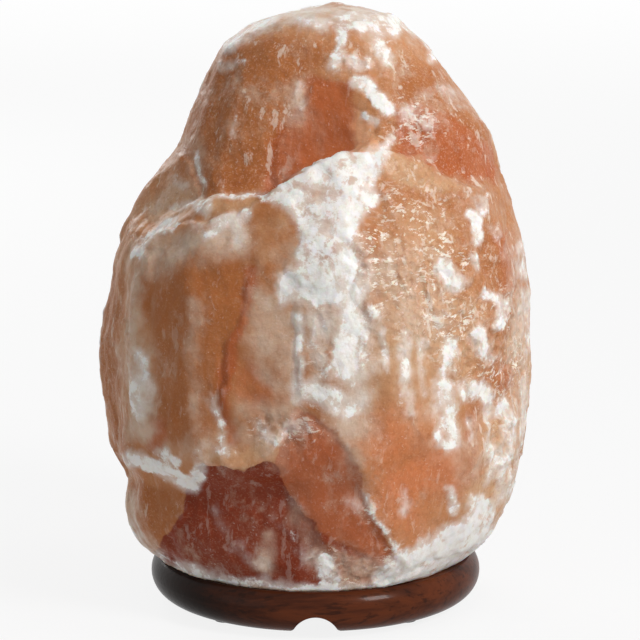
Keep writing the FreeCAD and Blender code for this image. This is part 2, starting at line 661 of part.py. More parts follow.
def make_bulb_glass():
    """Small pear-shaped bulb, open at its neck."""
    shoulder = f"({COLLAR_TOP} + 1)"
    rise = f"({BULB_MIDDLE} - {shoulder})"
    swell = "(bulb_radius - neck_radius)"
    flare = f"({rise} ^ 2 + {swell} ^ 2) / (2 * {swell}) * 1.02"
    inner = "(bulb_radius - glass_wall)"
    turned("bulb_glass", [
        ("neck_radius - glass_wall", STEM_BOTTOM),
        ("neck_radius", STEM_BOTTOM),
        ("neck_radius", shoulder, flare, 1),
        ("bulb_radius", BULB_MIDDLE, "bulb_radius", 1),
        ("0", BULB_TOP),
        ("0", f"{BULB_TOP} - glass_wall", inner, -1),
        (inner, BULB_MIDDLE, flare, -1),
        ("neck_radius - glass_wall", shoulder),
    ])


def make_bulb_foot():
    """Black glass under the cap and the solder tip at its middle."""
    turned("bulb_insulator", [
        ("0", f"{TIP_BOTTOM} + tip_height"),
        ("tip_radius + 0.6", f"{TIP_BOTTOM} + tip_height"),
        ("thread_core", CAP_SHELL_BOTTOM),
        ("0", CAP_SHELL_BOTTOM),
    ])
    turned("bulb_tip", [
        ("0", TIP_BOTTOM),
        ("tip_radius * 0.6", TIP_BOTTOM),
        ("tip_radius", f"{TIP_BOTTOM} + tip_height * 0.6"),
        ("tip_radius", f"{TIP_BOTTOM} + tip_height"),
        ("0", f"{TIP_BOTTOM} + tip_height"),
    ])


def make_bulb_cement():
    """Ring of cement that holds the glass neck in the cap's collar."""
    collar = "(collar_radius - thread_core)"
    bottom = f"({COLLAR_BOTTOM} + {collar} + cap_tin)"
    turned("bulb_cement", [
        ("neck_radius + 0.02", f"max({bottom}; {STEM_BOTTOM})"),
        ("collar_radius - cap_tin - 0.02", f"max({bottom}; {STEM_BOTTOM})"),
        ("collar_radius - cap_tin - 0.02", COLLAR_TOP),
        ("neck_radius + 0.02", COLLAR_TOP),
    ])


def make_bulb_stem():
    """Glass stem: a flared foot in the neck, a pinch and a short rod with a button."""
    rim = "(neck_radius - glass_wall - 0.03)"
    turned("bulb_stem", [
        ("0", f"{STEM_BOTTOM} + 1"),
        (f"{rim} - 0.8", STEM_BOTTOM),
        (rim, STEM_BOTTOM),
        ("2.2", f"{STEM_BOTTOM} + stem_height * 0.35"),
        ("2.2", f"{STEM_BOTTOM} + stem_height * 0.6"),
        ("0.8", f"{STEM_BOTTOM} + stem_height * 0.7"),
        ("0.8", f"{STEM_TOP} - 1.2"),
        ("1.4", f"{STEM_TOP} - 0.6"),
        ("0", STEM_TOP),
    ])


def straight_wire(name, start, stop, radius):
    """A round wire between two points, each given as three expressions."""
    wire = doc.addObject("Part::Cylinder", name)
    runs = [f"(({last}) - ({first}))" for first, last in zip(start, stop)]
    wire.setExpression("Radius", cells(radius))
    wire.setExpression("Height", cells(f"sqrt({runs[0]} ^ 2 + {runs[1]} ^ 2 + {runs[2]} ^ 2)"))
    wire.Placement = Placement(Vector(), Rotation(Vector(0, 0, 1), Vector(*map(number, runs))))
    for letter, expression in zip("xyz", start):
        wire.setExpression(f".Placement.Base.{letter}", cells(expression))
    return wire


def group(label, pieces):
    """Like pieces that share one node, as separate solids."""
    compound = doc.addObject("Part::Compound", label)
    compound.Label = label
    compound.Links = pieces
    return compound


FILAMENT_LEVEL = f"({STEM_BOTTOM} + stem_height * 0.6 + lead_height)"


def make_filament():
    """Two lead wires up from the pinch, the coiled filament bent in a half ring, and its two hooks."""
    ring = "filament_radius"
    leads = []
    for side, name in (("", "right_lead"), ("-", "left_lead")):
        foot = (f"{side}1.2", "0", f"{STEM_BOTTOM} + stem_height * 0.6 - 1.5")
        head = (f"{side}({ring})", "0", f"{FILAMENT_LEVEL} - filament_wire - wire_gap")
        leads.append(straight_wire(name, foot, head, "lead_wire"))
    group("bulb_leads", leads)
    arc = doc.addObject("Part::Torus", "bulb_filament")
    arc.Label = "bulb_filament"
    arc.setExpression("Radius1", cells(ring))
    arc.setExpression("Radius2", cells("filament_wire"))
    arc.Angle3 = 180
    arc.setExpression(".Placement.Base.z", cells(FILAMENT_LEVEL))
    hooks = []
    for angle in (60, 120):
        spoke = f"({ring} * %.4f)" % math.cos(math.radians(angle))
        rise = f"({ring} * %.4f)" % math.sin(math.radians(angle))
        foot = ("0", "0", f"{STEM_TOP} - 0.7")
        head = (spoke, rise, f"{FILAMENT_LEVEL} - filament_wire - wire_gap")
        hooks.append(straight_wire(f"hook_{angle}", foot, head, "lead_wire * 0.5"))
    group("filament_hooks", hooks)


def make_centre_contact():
    """Spring tongue under the bulb's tip: a foot under its rivet, a slope and a pad."""
    low, rise, thick = CORE_TOP, "contact_rise", "contact_thickness"
    left, bend, pad_start, end = f"({LIVE_RIVET} - rivet_radius - 0.4)", "-2.4", "-0.6", "2.6"
    body = new_body("centre_contact")
    outline = draw(body, "contact_outline", "XZ_Plane", [
        (left, low),
        (f"{bend} + 0.2", low),
        (f"{pad_start} + 0.2", f"{low} + {rise}"),
        (end, f"{low} + {rise}"),
        (end, f"{low} + {rise} + {thick}"),
        (pad_start, f"{low} + {rise} + {thick}"),
        (bend, f"{low} + {thick}"),
        (left, f"{low} + {thick}"),
    ])
    pad(body, "contact_strip", outline, "contact_width")
    hole = draw_circle(body, "contact_hole_outline", "XY_Plane", LIVE_RIVET, "0", "rivet_radius + 0.03")
    pocket(body, "contact_hole", hole, f"2 * ({low} + {thick} + 0.2)")


def make_rivet(name, across, seat):
    """A flat-headed rivet from its seat down through the core into a terminal."""
    stem_radius, head = "rivet_radius", "rivet_head"
    bottom = f"({LEDGE} - 1.2)"
    body = new_body(name)
    outline = draw(body, name + "_outline", "XZ_Plane", [
        (across, bottom),
        (f"{across} + {stem_radius}", bottom),
        (f"{across} + {stem_radius}", seat),
        (f"{across} + {stem_radius} + {head} * 0.5", seat),
        (f"{across} + {stem_radius} + {head} * 0.3", f"{seat} + {head}"),
        (across, f"{seat} + {head}"),
    ])
    turn_about(body, "Revolution", name + "_turned", outline, draw_axis(outline, across))


def make_terminal(name, side, rivet):
    """Brass block under the core, with a wire hole, a screw hole from below and its rivet's seat."""
    middle, half = f"({side}{TERMINAL_MIDDLE})", "(terminal_width / 2)"
    bottom = f"({LEDGE} - terminal_height)"
    body = new_body(name)
    outline = draw(body, name + "_outline", "XZ_Plane", [
        (f"{middle} - {half}", bottom),
        (f"{middle} + {half}", bottom),
        (f"{middle} + {half}", LEDGE),
        (f"{middle} - {half}", LEDGE),
    ])
    pad(body, name + "_block", outline, "terminal_depth")
    wire_level = f"({bottom} + terminal_height / 2)"
    wire = draw_circle(body, name + "_wire_outline", "XZ_Plane", middle, wire_level, "wire_hole_radius")
    pocket(body, name + "_wire_hole", wire, "terminal_depth + 2")
    screw = draw(body, name + "_screw_hole_outline", "XZ_Plane", [
        (middle, f"{bottom} - 1"),
        (f"{middle} + terminal_screw_radius + 0.03", f"{bottom} - 1"),
        (f"{middle} + terminal_screw_radius + 0.03", wire_level),
        (middle, wire_level),
    ])
    turn_about(body, "Groove", name + "_screw_hole", screw, draw_axis(screw, middle))
    seat = draw(body, name + "_seat_outline", "XZ_Plane", [
        (rivet, f"{LEDGE} - 1.3"),
        (f"{rivet} + rivet_radius + 0.03", f"{LEDGE} - 1.3"),
        (f"{rivet} + rivet_radius + 0.03", f"{LEDGE} + 1"),
        (rivet, f"{LEDGE} + 1"),
    ])
    turn_about(body, "Groove", name + "_seat", seat, draw_axis(seat, rivet))


def make_terminal_screws():
    """Two slotless pan-head screws, driven up into the terminals."""
    body = new_body("terminal_screws")
    middle = TERMINAL_MIDDLE
    seat = f"({LEDGE} - terminal_height)"
    bottom = f"({seat} - terminal_head_height)"
    top = f"({seat} + terminal_height / 2 - 0.3)"
    outline = draw(body, "terminal_screw_outline", "XZ_Plane", [
        (middle, bottom),
        (f"{middle} + terminal_head_radius * 0.8", bottom),
        (f"{middle} + terminal_head_radius", f"{bottom} + terminal_head_height * 0.5"),
        (f"{middle} + terminal_head_radius", seat),
        (f"{middle} + terminal_screw_radius", seat),
        (f"{middle} + terminal_screw_radius", top),
        (middle, top),
    ])
    screw = turn_about(body, "Revolution", "terminal_screw", outline, draw_axis(outline, middle))
    all_round(body, "terminal_screw_pattern", [screw], 2)


def make_clip_plate():
    """Flat plate of the clip, clamped on the skirt's flange, with an ear for each leg."""
    inner = "(skirt_radius + fit)"
    outer = "(skirt_radius + flange_width)"
    body = turned("clip_plate", [
        (inner, FLANGE_TOP),
        (outer, FLANGE_TOP),
        (outer, CLIP_TOP),
        (inner, CLIP_TOP),
    ])
    for side, name in ((1, "right_ear"), (-1, "left_ear")):
        near, far = f"{side} * {outer} - {side} * 0.6", f"{side} * {CLIP_REACH}"
        first, last = (near, far) if side > 0 else (far, near)
        ear = draw(body, name + "_outline", "XZ_Plane", [
            (first, FLANGE_TOP),
            (last, FLANGE_TOP),
            (last, CLIP_TOP),
            (first, CLIP_TOP),
        ])
        pad(body, name, ear, "clip_width")
        body.Tip = body.Group[-1]


def make_clip_leg(name, side):
    """Bowed leg of the clip.  It presses on the bore's wall along its edges and swings about its bend.

    The bend is a quarter round about the ear's lower edge, which is the line that the leg swings on.
    """
    half_width = "(clip_width / 2)"
    bow = f"(sqrt((bore_radius - clip_play) ^ 2 - {half_width} ^ 2))"
    foot = "(bore_radius - clip_foot_inset)"
    foot_level = f"({CAP_BOTTOM} + clip_foot_drop)"
    inner_top, inner_foot = CLIP_REACH, f"({foot} - clip_thickness)"
    length = f"({FLANGE_TOP} - {foot_level})"
    sag_inner = f"({bow} - clip_thickness - ({inner_top} + {inner_foot}) / 2)"
    sag_outer = f"({bow} - ({inner_top} + clip_thickness + {foot}) / 2)"
    inner_radius = f"({length} ^ 2 / (8 * {sag_inner}) + {sag_inner} / 2)"
    outer_radius = f"({length} ^ 2 / (8 * {sag_outer}) + {sag_outer} / 2)"
    body = new_body(name)
    outline = draw(body, name + "_outline", "XZ_Plane", [
        (f"{side} * {inner_top}", FLANGE_TOP),
        (f"{side} * {inner_top}", CLIP_TOP, "clip_thickness", -side),
        (f"{side} * ({inner_top} + clip_thickness)", FLANGE_TOP, outer_radius, -side),
        (f"{side} * {foot}", foot_level),
        (f"{side} * {inner_foot}", foot_level, inner_radius, side),
    ])
    pad(body, name + "_strip", outline, "clip_width")


make_wood_base()
make_rubber_feet()
make_base_screws()
make_screw_anchors()
make_salt_crystal()
make_holder_cap()
make_holder_skirt()
make_ring_nut()
make_holder_core()
make_thread_shell()
make_centre_contact()
make_rivet("neutral_rivet", NEUTRAL_RIVET, f"({CORE_TOP} + shell_foot_height)")
make_rivet("live_rivet", LIVE_RIVET, f"({CORE_TOP} + contact_thickness)")
make_terminal("neutral_terminal", "", NEUTRAL_RIVET)
make_terminal("live_terminal", "-", LIVE_RIVET)
make_terminal_screws()
make_clip_plate()
make_clip_leg("clip_leg_right", 1)
make_clip_leg("clip_leg_left", -1)
make_bulb_cap()
make_bulb_foot()
make_bulb_cement()
make_bulb_glass()
make_bulb_stem()
make_filament()
doc.recompute()

# The reader only served the drawings.
doc.removeObject(reader.Name)

for item in doc.Objects:
    if "Invalid" in item.State or "Error" in item.State:
        raise RuntimeError(f"{item.Label} failed: {item.State}")

NODES = [
    "salt_crystal", "wood_base", "rubber_feet", "base_screws", "screw_anchors",
    "holder_cap", "holder_skirt", "ring_nut", "holder_core", "thread_shell", "centre_contact",
    "neutral_rivet", "live_rivet", "neutral_terminal", "live_terminal", "terminal_screws",
    "clip_plate", "clip_leg_right", "clip_leg_left",
    "bulb_tip", "bulb_insulator", "bulb_cap", "bulb_cement", "bulb_glass", "bulb_stem",
    "bulb_leads", "bulb_filament", "filament_hooks",
]
os.makedirs("parts", exist_ok=True)
for label in NODES:
    shape = doc.getObjectsByLabel(label)[0].Shape
    if shape.isNull() or not shape.isValid() or not shape.Solids:
        raise RuntimeError(f"{label} has no valid solid")
    shape.exportStep(f"parts/{label}.step")
    box = shape.optimalBoundingBox(False)
    print(f"{label}: {len(shape.Solids)} solid(s), {shape.Volume / 1000:.3f} cm3, "
          f"x {box.XMin:.1f}..{box.XMax:.1f}, y {box.YMin:.1f}..{box.YMax:.1f}, z {box.ZMin:.1f}..{box.ZMax:.1f}")
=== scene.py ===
"""Salt crystal lamp: the looks of every piece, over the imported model.

The salt block gets a fine mesh of its own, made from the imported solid: its ridges are rounded, its faces
get the relief of cleaved and water-worn salt, and its frosted, red and amber places are laid where the
photograph shows them.  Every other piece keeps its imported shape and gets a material.
Lengths are in millimetres until they reach the scene, which works in metres.
"""

import math

import bpy
import numpy as np
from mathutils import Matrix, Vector, noise
from mathutils.kdtree import KDTree


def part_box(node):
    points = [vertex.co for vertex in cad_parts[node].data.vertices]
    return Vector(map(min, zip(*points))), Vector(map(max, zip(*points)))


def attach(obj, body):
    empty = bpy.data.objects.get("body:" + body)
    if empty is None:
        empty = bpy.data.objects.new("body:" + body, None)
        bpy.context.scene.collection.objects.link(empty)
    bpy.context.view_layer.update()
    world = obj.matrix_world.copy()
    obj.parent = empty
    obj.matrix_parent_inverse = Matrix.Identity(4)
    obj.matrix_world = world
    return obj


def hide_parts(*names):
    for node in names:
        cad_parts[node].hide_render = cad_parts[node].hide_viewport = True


MM = 0.001  # metres
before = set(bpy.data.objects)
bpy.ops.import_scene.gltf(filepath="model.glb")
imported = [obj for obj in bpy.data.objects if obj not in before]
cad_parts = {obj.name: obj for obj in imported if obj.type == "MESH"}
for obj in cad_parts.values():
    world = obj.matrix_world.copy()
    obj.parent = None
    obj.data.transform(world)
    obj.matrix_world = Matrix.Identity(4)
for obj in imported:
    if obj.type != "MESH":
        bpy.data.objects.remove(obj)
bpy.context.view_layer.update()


# -------- camera

PHOTO_SIDE = 640.0  # pixels
CAMERA_DISTANCE = 1300.0  # level distance from the lamp's axis
CAMERA_HEIGHT = 385.08
CAMERA_PITCH = 0.210630  # radians below level
FOCAL_PIXELS = 3536.34  # the focal length, in the photograph's pixels
AXIS_COLUMN = 315.5  # the photograph's column on which the lamp's axis stands
SENSOR = 36.0
CLIP_END = 20.0  # metres


def make_camera():
    """The camera as the photograph's was."""
    data = bpy.data.cameras.new("camera")
    data.sensor_width = SENSOR
    data.lens = FOCAL_PIXELS / PHOTO_SIDE * SENSOR
    data.shift_x = (PHOTO_SIDE / 2 - AXIS_COLUMN) / PHOTO_SIDE
    data.clip_end = CLIP_END
    camera = bpy.data.objects.new("camera", data)
    camera.location = (0, -CAMERA_DISTANCE * MM, CAMERA_HEIGHT * MM)
    camera.rotation_euler = (math.pi / 2 - CAMERA_PITCH, 0, 0)
    bpy.context.scene.collection.objects.link(camera)
    bpy.context.scene.camera = camera


def photo_pixels(points):
    """Where points (mm, one a row) lie in the photograph, as columns and rows."""
    ahead = points[:, 1] + CAMERA_DISTANCE
    up = points[:, 2] - CAMERA_HEIGHT
    cosine = math.cos(CAMERA_PITCH)
    sine = math.sin(CAMERA_PITCH)
    depth = ahead * cosine - up * sine
    rise = up * cosine + ahead * sine
    columns = AXIS_COLUMN + FOCAL_PIXELS * points[:, 0] / depth
    rows = PHOTO_SIDE / 2 - FOCAL_PIXELS * rise / depth
    return np.stack([columns, rows], axis=1)


# -------- node trees

MIX_INPUTS = (6, 7)  # a Mix node's sockets for colours
MIX_RESULT = 2
NOISE_MIDDLE = 0.5  # the mean of a noise


def shade(colour, share):
    """The colour, darkened to a share of itself."""
    return tuple(share * value for value in colour)


class Tree:
    """A node tree, written from the inside out."""

    def __init__(self, tree):
        self.tree = tree

    def node(self, kind, inputs=None, **settings):
        """Adds a node.  Its inputs are sockets or constants, by name or number."""
        made = self.tree.nodes.new("ShaderNode" + kind)
        for key, value in settings.items():
            setattr(made, key, value)
        for key, value in (inputs or {}).items():
            self.put(made.inputs[key], value)
        return made

    def put(self, socket, value):
        """Feeds a socket from another socket, or with a constant."""
        if isinstance(value, bpy.types.NodeSocket):
            self.tree.links.new(value, socket)
        else:
            socket.default_value = value

    def math(self, operation, *values):
        made = self.node("Math", operation=operation)
        for socket, value in zip(made.inputs, values):
            self.put(socket, value)
        return made.outputs[0]

    def shown(self):
        """1 for what is looked at, also in mirrors and through glass, and 0 for light on its way."""
        path = self.node("LightPath").outputs
        looked_at = self.math("MAXIMUM", path["Is Camera Ray"], path["Is Glossy Ray"])
        return self.math("MAXIMUM", looked_at, path["Is Transmission Ray"])


class Shader(Tree):
    """A material and its node tree."""

    def __init__(self, name):
        self.material = bpy.data.materials.new(name)
        self.material.use_nodes = True
        super().__init__(self.material.node_tree)
        self.surface = self.tree.nodes["Principled BSDF"]

    def set(self, **inputs):
        """Sets the Principled shader's sockets: Base_Color=..., Roughness=..."""
        for key, value in inputs.items():
            self.put(self.surface.inputs[key.replace("_", " ")], value)

    def place(self):
        return self.node("TexCoord").outputs["Object"]

    def attribute(self, name):
        """A value that the mesh holds at each vertex."""
        return self.node("Attribute", attribute_name=name).outputs["Fac"]

    def noise(self, scale, detail=4.0, roughness=0.5, distortion=0.0, place=None, stretch=None):
        """Noise with features of about 1 / scale metres.  stretch squeezes the place along each axis."""
        if place is None:
            place = self.place()
        if stretch is not None:
            place = self.node("Mapping", {"Vector": place, "Scale": stretch}).outputs["Vector"]
        inputs = {"Vector": place, "Scale": scale, "Detail": detail, "Roughness": roughness,
                  "Distortion": distortion}
        return self.node("TexNoise", inputs).outputs["Fac"]

    def warp(self, scale, reach):
        """The place, pushed about by up to half of reach (m), to break up what is drawn over it."""
        push = self.node("TexNoise", {"Vector": self.place(), "Scale": scale, "Detail": 3.0})
        middle = (NOISE_MIDDLE, NOISE_MIDDLE, NOISE_MIDDLE)
        centred = self.node("VectorMath", {0: push.outputs["Color"], 1: middle}, operation="SUBTRACT")
        inputs = {0: centred.outputs["Vector"], 1: (reach, reach, reach), 2: self.place()}
        return self.node("VectorMath", inputs, operation="MULTIPLY_ADD").outputs["Vector"]

    def cells(self, scale):
        """The distance to the nearest of many scattered points, which lie about 1 / scale metres apart."""
        return self.node("TexVoronoi", {"Vector": self.place(), "Scale": scale}).outputs["Distance"]

    def step(self, value, low, high, out_low=0.0, out_high=1.0):
        """Goes smoothly from out_low to out_high as the value goes from low to high."""
        inputs = {"Value": value, "From Min": low, "From Max": high, "To Min": out_low, "To Max": out_high}
        return self.node("MapRange", inputs, interpolation_type="SMOOTHSTEP").outputs["Result"]

    def fade(self, mask, without, within):
        """Goes smoothly from one value outside a mask to another within it."""
        return self.step(mask, 0, 1, without, within)

    def cover(self, mask, texture, spread, low, high):
        """A painted place whose edge the texture breaks up."""
        centred = self.math("SUBTRACT", texture, NOISE_MIDDLE)
        return self.step(self.math("MULTIPLY_ADD", centred, spread, mask), low, high)

    def mix(self, share, first, second):
        """One colour over another, by its share.  Each is a socket or three numbers."""
        made = self.node("Mix", {0: share}, data_type="RGBA")
        for number, colour in zip(MIX_INPUTS, (first, second)):
            is_socket = isinstance(colour, bpy.types.NodeSocket)
            self.put(made.inputs[number], colour if is_socket else (*colour, 1))
        return made.outputs[MIX_RESULT]

    def bump(self, height, distance, strength=1.0, below=None):
        """A normal that follows the height, over the normal from the bump below."""
        inputs = {"Height": height, "Distance": distance, "Strength": strength}
        if below is not None:
            inputs["Normal"] = below
        return self.node("Bump", inputs).outputs["Normal"]


# -------- the salt block's painted places

# What can be painted: the salts' colours, bruised white salt, and how broken (crystalline, with painted
# glints and sheen) or grainy the surface is.
COLOURS = {
    "terracotta": (0.42, 0.142, 0.044),
    "amber": (0.46, 0.116, 0.036),
    "ember": (0.68, 0.228, 0.092),
    "brick": (0.44, 0.115, 0.045),
    "rust": (0.218, 0.021, 0.006),
    "peach": (0.62, 0.360, 0.195),
    "apricot": (0.86, 0.440, 0.235),
    "cloud": (0.68, 0.52, 0.40),
    "frost": (0.95, 0.935, 0.905),
}
KINDS = (*COLOURS, "broken", "grainy")

# Each place on the side that the photograph shows: how strong, the half width and the soft edge of the brush,
# and the line that it follows, in the photograph's pixels.  A width of 0 fills the closed line.
PLACES = {}

# smooth faces
PLACES["terracotta"] = [
    (0.9, 0, 9, [(222, 50), (262, 36), (330, 46), (300, 96), (266, 188), (196, 196), (178, 170),
        (200, 110)]),
    (1.0, 0, 12, [(140, 262), (190, 244), (246, 246), (248, 300), (230, 350), (222, 410), (196, 446),
        (158, 440), (150, 400), (158, 330), (138, 300)]),
    (0.8, 0, 5, [(250, 214), (290, 212), (297, 240), (288, 262), (262, 268), (248, 246)]),
    (0.7, 9, 8, [(112, 280), (108, 330), (110, 400), (122, 450)]),
    (0.9, 0, 5, [(130, 484), (188, 490), (184, 520), (160, 548), (132, 540)]),
    (0.8, 0, 10, [(392, 60), (440, 66), (492, 140), (498, 178), (440, 168), (396, 140)]),
    (0.6, 26, 18, [(410, 200), (440, 222)]),
]

# deep orange salt
PLACES["amber"] = [
    (1.2, 0, 7, [(310, 80), (350, 84), (350, 145), (313, 157), (267, 187), (273, 140), (305, 100)]),
    (0.8, 7, 7, [(348, 92), (346, 128)]),
    (0.9, 5, 5, [(250, 272), (242, 325), (224, 375), (228, 425), (234, 438)]),
    (0.6, 16, 14, [(250, 375), (262, 398)]),
    (0.8, 10, 7, [(152, 430), (156, 446)]),
    (1.2, 0, 8, [(424, 108), (452, 118), (492, 150), (494, 178), (450, 172), (404, 150), (398, 112)]),
    (0.6, 9, 8, [(497, 356), (504, 384)]),
    (0.6, 8, 8, [(504, 235), (512, 285)]),
    (0.5, 10, 8, [(470, 410), (476, 470)]),
]

# glowing salt, low down: a painted glow, bright orange laid into the colour
PLACES["ember"] = [
    (0.95, 18, 16, [(404, 482), (440, 470)]),
    (0.6, 38, 26, [(400, 440), (396, 500)]),
    (0.5, 0, 5, [(313, 412), (340, 432), (357, 463), (364, 500), (330, 470), (300, 440)]),
]

# the broken face at the foot, its lighter half
PLACES["brick"] = [
    (1.0, 0, 2.5, [(293, 411), (313, 413), (336, 440), (357, 463), (367, 510), (384, 540), (402, 566),
        (372, 566), (336, 552), (313, 523), (287, 497), (277, 467), (280, 446)]),
]

# the broken face at the foot, its darker half
PLACES["rust"] = [
    (1.0, 0, 2.5, [(203, 465), (224, 468), (242, 474), (262, 464), (277, 467), (287, 497), (313, 523),
        (316, 550), (322, 596), (250, 600), (186, 586), (152, 556), (182, 514), (190, 480)]),
    (0.6, 0, 5, [(313, 523), (350, 548), (396, 570), (384, 590), (330, 596), (304, 572)]),
]

# pale salt
PLACES["peach"] = [
    (0.8, 0, 7, [(350, 144), (378, 150), (417, 156), (457, 186), (440, 194), (398, 182), (380, 160)]),
    (0.55, 34, 26, [(420, 240), (408, 300)]),
    (0.6, 0, 18, [(378, 270), (430, 280), (478, 300), (484, 360), (466, 420), (410, 430), (376, 396)]),
    (0.8, 20, 16, [(392, 350), (450, 348)]),
    (0.8, 18, 16, [(505, 430), (488, 510)]),
    (0.5, 15, 10, [(478, 350), (518, 350)]),
    (0.7, 0, 8, [(198, 452), (240, 446), (286, 428), (270, 460), (240, 468), (204, 460)]),
    (0.45, 0, 8, [(252, 216), (288, 214), (294, 240), (286, 260), (262, 266)]),
    (0.6, 22, 18, [(372, 372), (408, 400)]),
    (0.6, 8, 8, [(212, 208), (252, 203)]),
    (0.5, 12, 10, [(180, 198), (158, 214)]),
]

# the palest chip, under the crown: pale salt, painted brighter still as painted light on a facet that the
# lamps leave in shade
PLACES["apricot"] = [
    (1.2, 0, 4, [(350, 108), (366, 120), (380, 148), (350, 149)]),
]

# milky veils
PLACES["cloud"] = [
    (0.85, 12, 13, [(142, 262), (180, 248), (238, 240)]),
    (0.8, 8, 8, [(139, 262), (133, 300), (132, 345)]),
    (0.9, 12, 10, [(136, 345), (140, 430)]),
    (0.45, 12, 10, [(160, 452), (196, 446), (232, 436)]),
    (0.5, 5, 6, [(192, 300), (196, 430)]),
    (0.6, 0, 10, [(252, 296), (296, 290), (296, 388), (276, 396), (256, 372), (246, 340)]),
    (0.7, 10, 8, [(318, 300), (318, 376)]),
    (0.6, 8, 8, [(298, 84), (296, 116)]),
    (0.55, 12, 10, [(250, 412), (300, 408)]),
    (0.7, 15, 12, [(376, 290), (370, 352)]),
    (0.6, 26, 22, [(392, 270), (420, 320)]),
    (0.5, 9, 7, [(404, 340), (408, 412)]),
    (0.55, 12, 10, [(500, 440), (504, 500)]),
    (0.3, 8, 7, [(430, 92), (468, 100)]),
    (0.6, 10, 9, [(374, 38), (386, 60)]),
    (0.5, 10, 9, [(196, 150), (192, 186)]),
    (0.5, 9, 8, [(174, 186), (154, 212)]),
    (0.6, 9, 8, [(240, 432), (262, 452)]),
    (0.7, 9, 8, [(520, 300), (524, 420)]),
    (0.5, 9, 6, [(298, 520), (320, 560)]),
    (0.8, 8, 8, [(126, 500), (132, 536), (150, 556)]),
    (0.7, 7, 6, [(262, 568), (268, 540)]),
    (0.35, 7, 6, [(512, 230), (522, 330)]),
    (0.8, 20, 16, [(346, 250), (352, 330), (352, 420)]),
    (0.6, 10, 10, [(346, 420), (352, 460)]),
    (0.5, 22, 14, [(440, 420), (470, 450)]),
    (0.6, 14, 12, [(292, 250), (304, 290), (296, 350)]),
    (0.5, 18, 9, [(336, 570), (380, 580)]),
    (0.8, 9, 7, [(262, 20), (330, 11), (396, 16)]),
]

